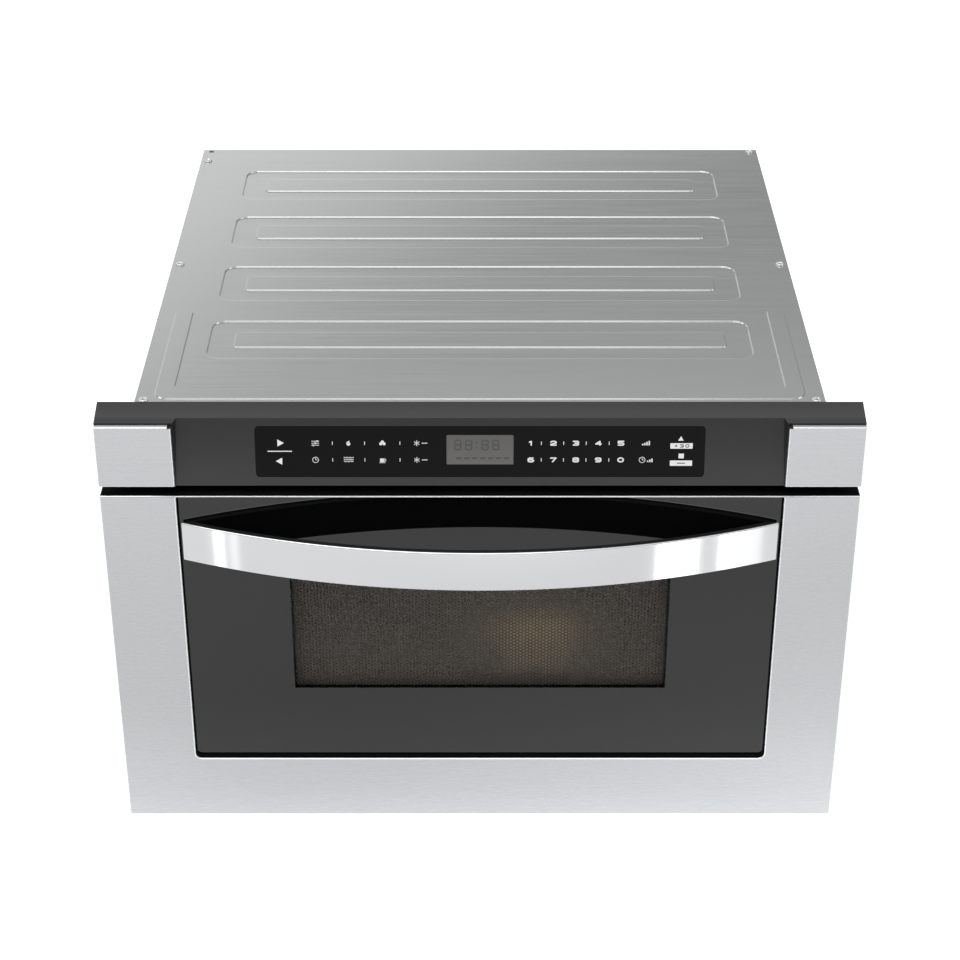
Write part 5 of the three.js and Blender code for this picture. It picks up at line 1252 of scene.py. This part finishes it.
def end_cap(node):
    """A steel cap: face, outer side, underside, a narrow inner return and a fold over the top."""
    low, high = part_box(node)
    high.z = cap_top()
    outer_x = low.x if abs(low.x) > abs(high.x) else high.x
    inner_x = high.x if outer_x == low.x else low.x
    inward = 1 if inner_x > outer_x else -1
    notch_x = inner_x - inward * CAP_NOTCH
    rim_z = high.z - CAP_RIM
    bm = bmesh.new()
    block(bm, low, high)
    for place, normal in (((0, low.y + CAP_LIP, 0), Y_AXIS), ((0, low.y + CAP_RETURN, 0), Y_AXIS),
                          ((0, 0, rim_z), Z_AXIS), ((notch_x, 0, 0), X_AXIS)):
        slice_at(bm, place, normal)
    gone = []
    for face in bm.faces:
        centre = face.calc_center_median()
        above = centre.z > rim_z
        is_back = centre.y > high.y - NEAR
        is_inner = abs(centre.x - inner_x) < NEAR and (centre.y > low.y + CAP_RETURN or above)
        behind_lip = above and centre.y > low.y + CAP_LIP
        in_notch = above and (centre.x - notch_x) * inward > 0
        if is_back or is_inner or behind_lip or in_notch:
            gone.append(face)
    bmesh.ops.delete(bm, geom=gone, context="FACES")
    face_outwards(bm)
    # The cap's folds get a painted highlight.
    bm.faces.layers.float.new(PAINTED_FOLD_HIGHLIGHT)
    folds = [e for e in bm.edges if e.is_manifold and e.calc_face_angle(0) > SHARP]
    fold_edges(bm, folds, sizes().fold)
    return bm


class MICROWAVE_DRAWER_OT_panel(bpy.types.Operator):
    """Make the control panel's housing and end caps"""

    bl_idname = "microwave_drawer.panel"
    bl_label = "Control panel"

    def execute(self, context):
        add_piece("panel_housing", panel_housing(), "chassis", "housing",
                  ["control_panel_housing"], level=True)
        for word in ("left", "right"):
            add_piece(f"end_cap_{word}", end_cap(f"trim_cap_{word}"), "chassis", "front_steel",
                      [f"trim_cap_{word}"], sizes().sheet, level=True)
        return {"FINISHED"}


# ----------------------------------------------------------------------------------------------
# Legends
# ----------------------------------------------------------------------------------------------

# The marks are drawn in millimetres on the panel's face: X across, Y up its slope and Z out of it.
INK = 0.06
ROW_HIGH = 36
ROW_LOW = 21.9
LENS_SETBACK = 0.1
FIGURES = {  # each figure's lines, in shares of its width and height
    "0": [[(0.25, 0), (0.75, 0), (1, 0.3), (1, 0.7), (0.75, 1), (0.25, 1), (0, 0.7), (0, 0.3), (0.25, 0)]],
    "1": [[(0.2, 0.78), (0.55, 1), (0.55, 0)]],
    "2": [[(0, 0.8), (0.2, 1), (0.8, 1), (1, 0.8), (1, 0.62), (0, 0.14), (0, 0), (1, 0)]],
    "3": [[(0, 1), (0.8, 1), (1, 0.8), (0.85, 0.5), (1, 0.2), (0.8, 0), (0, 0)], [(0.3, 0.5), (0.85, 0.5)]],
    "4": [[(0.78, 0), (0.78, 1), (0, 0.3), (1, 0.3)]],
    "5": [[(1, 1), (0, 1), (0, 0.55), (0.8, 0.55), (1, 0.4), (1, 0.15), (0.8, 0), (0, 0)]],
    "6": [[(0.9, 1), (0.25, 1), (0, 0.75), (0, 0.2), (0.2, 0), (0.8, 0), (1, 0.2), (1, 0.38), (0.8, 0.55),
           (0, 0.55)]],
    "7": [[(0, 1), (1, 1), (0.35, 0)]],
    "8": [[(0.15, 0.52), (0, 0.7), (0, 0.85), (0.2, 1), (0.8, 1), (1, 0.85), (1, 0.7), (0.85, 0.52),
           (0.15, 0.52), (0, 0.3), (0, 0.15), (0.2, 0), (0.8, 0), (1, 0.15), (1, 0.3), (0.85, 0.52)]],
    "9": [[(0.1, 0), (0.75, 0), (1, 0.25), (1, 0.8), (0.8, 1), (0.2, 1), (0, 0.8), (0, 0.62), (0.2, 0.45),
           (1, 0.45)]],
}


def bar(bm, x0, y0, x1, y1, lift=0.0):
    """A thin printed bar between its lower left and upper right corners."""
    block(bm, (x0, y0, lift), (x1, y1, lift + INK))


def stroke(bm, start, end, width, lift=0.0):
    """A thin printed line between two points."""
    start, end = Vector(start), Vector(end)
    middle = (start + end) / 2
    along = end - start
    place = (Matrix.Translation((*middle, lift + INK / 2))
             @ Matrix.Rotation(atan2(along.y, along.x), 4, "Z")
             @ Matrix.Diagonal((along.length, width, INK, 1)))
    bmesh.ops.create_cube(bm, size=1, matrix=place)


def disc(bm, centre, radius, lift=0.0, sides=20, turn=0.0):
    """A printed disc, or a triangle where it has three sides."""
    place = Matrix.Translation((*centre, lift + INK / 2)) @ Matrix.Rotation(turn, 4, "Z")
    bmesh.ops.create_cone(bm, cap_ends=True, segments=sides, radius1=radius, radius2=radius, depth=INK,
                          matrix=place)


def triangle(bm, centre, radius, turn):
    disc(bm, centre, radius, sides=3, turn=turn)


def ring(bm, centre, radius, width, sides=20):
    """A printed ring of short strokes."""
    points = [Vector(centre) + radius * Vector((cos(2 * pi * i / sides), sin(2 * pi * i / sides)))
              for i in range(sides + 1)]
    for first, second in zip(points, points[1:]):
        stroke(bm, first, second + (second - first) * 0.12, width)


def digit(bm, character, centre, width, height, thick, lift=0.0):
    """A plain numeral of rounded strokes, each a hair above the last."""
    size = Vector((width - thick, height - thick))
    corner = Vector(centre) - size / 2
    for line in FIGURES[character]:
        points = [corner + Vector((x * size.x, y * size.y)) for x, y in line]
        disc(bm, points[0], thick / 2, lift, 12)
        for first, second in zip(points, points[1:]):
            lift += 0.001
            stroke(bm, first, second, thick, lift)
            disc(bm, second, thick / 2, lift + 0.0005, 12)


def clock_mark(bm, x, y):
    size = 2.3
    ring(bm, (x, y), size, 0.5)
    stroke(bm, (x, y), (x, y + size * 0.7), 0.45)
    stroke(bm, (x, y), (x + size * 0.55, y), 0.45)


def frost_mark(bm, x, y):
    for index in range(3):
        angle = pi / 2 + index * pi / 3
        arm = Vector((cos(angle), sin(angle))) * 2.4
        stroke(bm, Vector((x, y)) - arm, Vector((x, y)) + arm, 0.5)


def drop_mark(bm, x, y):
    disc(bm, (x, y - 0.6), 1.5)
    triangle(bm, (x, y + 0.7), 1.7, pi / 2)


def kernel_mark(bm, x, y):
    for dx, dy in ((-1.3, -0.5), (1.3, -0.5), (0, 1.1)):
        disc(bm, (x + dx, y + dy), 1.25)


def level_mark(bm, x, y, steps=4):
    for index in range(steps):
        left = x + (index - steps / 2) * 1.7
        bar(bm, left, y - 1.8, left + 1.1, y - 0.6 + index * 0.85)


def slider_mark(bm, x, y):
    for index in (-1, 0, 1):
        row = y + index * 1.7
        bar(bm, x - 3, row - 0.22, x + 3, row + 0.22)
        disc(bm, (x + index * 1.6, row), 0.75)


def wave_mark(bm, x, y):
    for row in (y - 1.2, y + 0.4, y + 2):
        points = [Vector((x + i * 1.3, row + (0.5 if i % 2 else -0.5))) for i in range(-3, 4)]
        for first, second in zip(points, points[1:]):
            stroke(bm, first, second, 0.45)


def cup_mark(bm, x, y):
    bar(bm, x - 2, y - 1.9, x + 1.4, y + 1.2)
    ring(bm, (x + 1.6, y - 0.2), 1, 0.45, 14)
    bar(bm, x - 2.6, y - 2.6, x + 2.2, y - 2.2)


def touch_marks():
    """Plain numerals and pictograms in two rows on each side of the display."""
    bm = bmesh.new()
    triangle(bm, (-158.1, 36.2), 3.4, -pi / 2)
    bar(bm, -167.8, 28.8, -148.5, 29.6)
    triangle(bm, (-158.1, 20.8), 3.4, pi / 2)
    columns = (-130.0, -103.8, -77.0, -49.9)
    for row, marks, figures in (
        (ROW_HIGH, (slider_mark, drop_mark, kernel_mark, frost_mark), "12345"),
        (ROW_LOW, (clock_mark, wave_mark, cup_mark, frost_mark), "67890"),
    ):
        for mark, x in zip(marks, columns):
            mark(bm, x, row)
        bar(bm, -46.0, row - 0.3, -41.5, row + 0.3)
        for x in (-116.5, -91.0, -63.2, 48.4, 66.0, 83.8, 101.9):
            bar(bm, x - 0.28, row - 1.4, x + 0.28, row + 1.4)
        for index, character in enumerate(figures):
            digit(bm, character, (40.2 + index * 17.75, row), 5.2, 4.2, 1.1)
    level_mark(bm, 131.2, ROW_HIGH)
    clock_mark(bm, 128.2, ROW_LOW)
    level_mark(bm, 134.6, ROW_LOW, 3)
    triangle(bm, (158.4, 39.4), 2.5, 0)
    bar(bm, 150.2, 31.4, 167.8, 36.0)
    bar(bm, 156.9, 23.2, 161.1, 27.2)
    bar(bm, 150.2, 16.9, 167.8, 21.4)
    return bm


def box_marks():
    """Dark figures on the two white bars."""
    bm = bmesh.new()
    row = 33.7
    bar(bm, 153.4, row - 0.25, 156.0, row + 0.25, INK)
    bar(bm, 154.45, row - 1.2, 154.95, row + 1.2, INK)
    for character, x in (("3", 159.2), ("0", 163.6)):
        digit(bm, character, (x, row), 3.2, 2.8, 0.55, INK)
    bar(bm, 155.8, 18.8, 162.2, 19.5, INK)
    return bm


def display_marks():
    """Unlit figures of the display."""
    bm = bmesh.new()
    for x in (-17.5, -9.0, 4.0, 12.5):
        digit(bm, "8", (x, 34.4), 6.2, 9.0, 1.2)
    for y in (32.4, 36.6):
        disc(bm, (-2.5, y), 0.7)
    for index in range(7):
        x = -19 + index * 6.3
        bar(bm, x, 22.4, x + 4.2, 24.2)
    return bm


class MICROWAVE_DRAWER_OT_legends(bpy.types.Operator):
    """Print the numerals and pictograms on the touch glass"""

    bl_idname = "microwave_drawer.legends"
    bl_label = "Legends"

    def execute(self, context):
        for name, marks, finish_name, lift in (
            ("touch_marks", touch_marks(), "legend", 0),
            ("box_marks", box_marks(), "legend_dark", 0),
            ("display_marks", display_marks(), "segment", -LENS_SETBACK),
        ):
            place = panel_place() @ Matrix.Scale(MM, 4) @ Matrix.Translation((0, 0, lift))
            bmesh.ops.transform(marks, matrix=place, verts=marks.verts)
            add_piece(name, marks, "chassis", finish_name)
        return {"FINISHED"}


# ----------------------------------------------------------------------------------------------
# Finishes of the solids that keep their own shape
# ----------------------------------------------------------------------------------------------


class MICROWAVE_DRAWER_OT_finishes(bpy.types.Operator):
    """Give every solid that keeps its shape its finish"""

    bl_idname = "microwave_drawer.finishes"
    bl_label = "Finishes of the solids"

    def execute(self, context):
        done = set()
        for finish_name, nodes in NODE_FINISHES.items():
            for node in nodes:
                for material_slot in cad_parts[node].material_slots:
                    material_slot.material = finish(finish_name)
                done.add(node)
        bare = [name for name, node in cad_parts.items() if name not in done and not node.hide_render]
        if bare:
            raise RuntimeError(f"These solids have no finish: {', '.join(sorted(bare))}")
        return {"FINISHED"}


# ----------------------------------------------------------------------------------------------
# Stage
# ----------------------------------------------------------------------------------------------

FLOOR_HALF = 6
MIDDLE = 0, 0, 0.25  # what the large lamps are aimed at
KEY = (-0.5, -1.2, 2.4), 2.2, 1.4  # place, width and height
FILLS = (("fill_left", (-2.4, -0.6, 1.4), 9), ("fill_right", (2.4, -0.6, 1.4), 7))
FILL_SIZE = 1.2, 1.4
GLEAMS = (  # X and Y of a lamp low down in front, X of its gleam in the handle, width and power
    (-0.4593, -0.5347, -0.208, 0.013, 0.00016),
    (-0.4341, -0.5507, -0.196, 0.016, 0.00004),
    (0.3527, -0.5946, 0.157, 0.073, 0.0011),
    (0.4407, -0.5463, 0.2, 0.033, 0.00048),
    (0.474, -0.5237, 0.22, 0.044, 0.00012),
)
GLEAM_HEIGHT = 0.075
GLEAM_SPREAD = radians(26)
GLEAM_TALL = 0.1
OVEN_LIGHT = Vector((0.05, 0.112, 0.035))  # from the steel face's middle and the tray's underside
OVEN_LIGHT_SIZE = 0.06, 0.03
OVEN_LIGHT_POWER = 0.0055
OVEN_LIGHT_TINT = tone(0xFFE0A8)
FLOOR_TO_CAMERA = 0.6  # light that the floor gives the camera, so that it reads white
AMBIENT = 0.62  # what the room gives to matt surfaces
PALE_SIDE = Vector((-0.454, 0.357, -0.817))  # across the edge of the room's pale part, into it
BEHIND_LEFT = Vector((-0.25, 0.88, 0.4)).normalized()


def add_lamp(name, place, target, size, power, tint=(1, 1, 1), diffuse=True):
    light = bpy.data.lights.new(name, "AREA")
    light.shape = "RECTANGLE"
    light.size, light.size_y = size
    light.energy = power
    light.color = tint
    lamp = bpy.data.objects.new(name, light)
    lamp.location = place
    lamp.rotation_euler = (Vector(target) - Vector(place)).to_track_quat("-Z", "Y").to_euler()
    lamp.visible_camera = False
    lamp.visible_diffuse = diffuse
    bpy.context.scene.collection.objects.link(lamp)
    return lamp


def seen_directly(shader):
    """1 for rays from the camera, and 1 for rays by way of a gloss or a glass."""
    camera, glossy, through = [shader.node("ShaderNodeLightPath", output=name)
                               for name in ("Is Camera Ray", "Is Glossy Ray", "Is Transmission Ray")]
    return camera, glossy.largest(through)


def floor_material():
    """Pale floor that reads white and still takes the object's shadow."""
    shader = new_material("studio_floor")
    drift = shader.noise(shader.place(), 0.8, 1.0, 0.4)
    base = shader.tones(drift, colours().floor, 0.99, 1.01)
    matt = shader.node("ShaderNodeBsdfDiffuse", None, {"Color": base})
    camera, mirrored = seen_directly(shader)
    # What the front mirrors: a floor that is bright at the front's foot and dims forwards, less soon on
    # the right, and is bright again further out.
    ahead = STEEL_FACE - shader.along("Y")
    rightward = shader.along("X").between(-0.25, 0.25)
    foot_glow = 0.18 * (1 - ahead.between(0.04, 0.18))
    right_glow = rightward * 0.16 * (1 - ahead.between(0.06, 0.42))
    edge_glow = 0.1 * (1 - ahead.between(0, 0.05))
    far_glow = (rightward * 0.07 + 0.1) * ahead.between(0.45, 0.6)
    near = foot_glow + right_glow + edge_glow + far_glow
    strength = camera * FLOOR_TO_CAMERA + (1 - camera) * mirrored * ahead.between(-0.1, 0) * near
    glow = shader.node("ShaderNodeEmission", None, {"Color": (1, 1, 1, 1), "Strength": strength})
    shader.surface(shader.node("ShaderNodeAddShader", None, {0: matt, 1: glow}))
    return shader.owner


def paint_world():
    """White to the camera; to the metal, a room that is paler overhead and low behind on the left."""
    world = bpy.data.worlds.new("studio")
    bpy.context.scene.world = world
    shader = Shader(world, "ShaderNodeOutputWorld")
    direction = shader.node("ShaderNodeTexCoord", output="Generated")
    height = shader.node("ShaderNodeSeparateXYZ", None, {"Vector": direction}, output="Z")
    edge_of_pale, behind_left = [
        shader.node("ShaderNodeVectorMath", {"operation": "DOT_PRODUCT"}, {0: direction, 1: axis},
                    output="Value")
        for axis in (PALE_SIDE, BEHIND_LEFT)
    ]
    pale = edge_of_pale.between(-0.01, 0.055) * behind_left.between(0.55, 0.85)
    # The room itself, its pale part, and a ceiling that brightens in two steps
    room = 0.4 + pale * 0.7 + height.between(0.42, 0.5) * 0.36 + height.between(0.5, 0.75) * 0.2
    camera, mirrored = seen_directly(shader)
    strength = camera + (1 - camera) * (mirrored * room + (1 - mirrored) * AMBIENT)
    shader.surface(shader.node("ShaderNodeBackground", None, {"Color": (1, 1, 1, 1), "Strength": strength}))


class MICROWAVE_DRAWER_OT_stage(bpy.types.Operator):
    """Set up the floor, the lamps, the world and the camera"""

    bl_idname = "microwave_drawer.stage"
    bl_label = "Stage"

    def execute(self, context):
        settings = studio()
        bm = bmesh.new()
        bmesh.ops.create_grid(bm, x_segments=1, y_segments=1, size=FLOOR_HALF)
        mesh = bpy.data.meshes.new("studio_floor")
        bm.to_mesh(mesh)
        bm.free()
        mesh.materials.append(floor_material())
        floor = bpy.data.objects.new("studio_floor", mesh)
        context.scene.collection.objects.link(floor)

        place, *size = KEY
        add_lamp("key", place, MIDDLE, size, settings.key_power)
        for name, place, power in FILLS:
            add_lamp(name, place, MIDDLE, FILL_SIZE, power)
        low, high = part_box("handle_bar")
        radius, centre = bow_line()[1:]
        for index, (x, y, bar_x, width, power) in enumerate(GLEAMS):
            target = (bar_x, centre - sqrt(radius**2 - bar_x**2), (low.z + high.z) / 2)
            place = (x, y, GLEAM_HEIGHT)
            gleam = add_lamp(f"gleam_{index}", place, target, (width, GLEAM_TALL), power, diffuse=False)
            gleam.data.spread = GLEAM_SPREAD
        place = OVEN_LIGHT + Vector((0, STEEL_FACE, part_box("ceramic_tray")[0].z))
        below = (place.x, place.y, 0)
        add_lamp("oven_light", place, below, OVEN_LIGHT_SIZE, OVEN_LIGHT_POWER, OVEN_LIGHT_TINT)

        paint_world()
        camera_data = bpy.data.cameras.new("camera")
        camera_data.lens = settings.lens
        camera_data.sensor_width = 36
        camera = bpy.data.objects.new("camera", camera_data)
        camera.location = (0, STEEL_FACE - settings.distance, settings.height)
        camera.rotation_euler = (pi / 2 - settings.pitch, 0, 0)
        context.scene.collection.objects.link(camera)
        context.scene.camera = camera
        context.scene.view_settings.view_transform = "Standard"
        return {"FINISHED"}


# ----------------------------------------------------------------------------------------------
# Add-on
# ----------------------------------------------------------------------------------------------

OPERATORS = (
    MICROWAVE_DRAWER_OT_stage,
    MICROWAVE_DRAWER_OT_casing,
    MICROWAVE_DRAWER_OT_front,
    MICROWAVE_DRAWER_OT_window,
    MICROWAVE_DRAWER_OT_handle,
    MICROWAVE_DRAWER_OT_panel,
    MICROWAVE_DRAWER_OT_legends,
    MICROWAVE_DRAWER_OT_finishes,
)

SETTINGS = {
    "microwave_drawer_sizes": MicrowaveDrawerSizes,
    "microwave_drawer_colours": MicrowaveDrawerColours,
    "microwave_drawer_studio": MicrowaveDrawerStudio,
}


class MICROWAVE_DRAWER_PT_sidebar(bpy.types.Panel):
    """The settings, and a button for each piece"""

    bl_idname = "MICROWAVE_DRAWER_PT_sidebar"
    bl_label = "Microwave Drawer"
    bl_space_type = "VIEW_3D"
    bl_region_type = "UI"
    bl_category = "Microwave Drawer"

    def draw(self, context):
        for name in SETTINGS:
            group = getattr(context.scene, name)
            box = self.layout.box()
            for key in group.__annotations__:
                box.prop(group, key)
        for operator in OPERATORS:
            self.layout.operator(operator.bl_idname)


def register():
    for cls in (*SETTINGS.values(), *OPERATORS, MICROWAVE_DRAWER_PT_sidebar):
        bpy.utils.register_class(cls)
    for name, cls in SETTINGS.items():
        setattr(bpy.types.Scene, name, bpy.props.PointerProperty(type=cls))


def unregister():
    for name in SETTINGS:
        delattr(bpy.types.Scene, name)
    for cls in reversed((*SETTINGS.values(), *OPERATORS, MICROWAVE_DRAWER_PT_sidebar)):
        bpy.utils.unregister_class(cls)


def main():
    register()
    for operator in OPERATORS:
        group, name = operator.bl_idname.split(".")
        getattr(getattr(bpy.ops, group), name)()


if __name__ == "__main__":
    main()
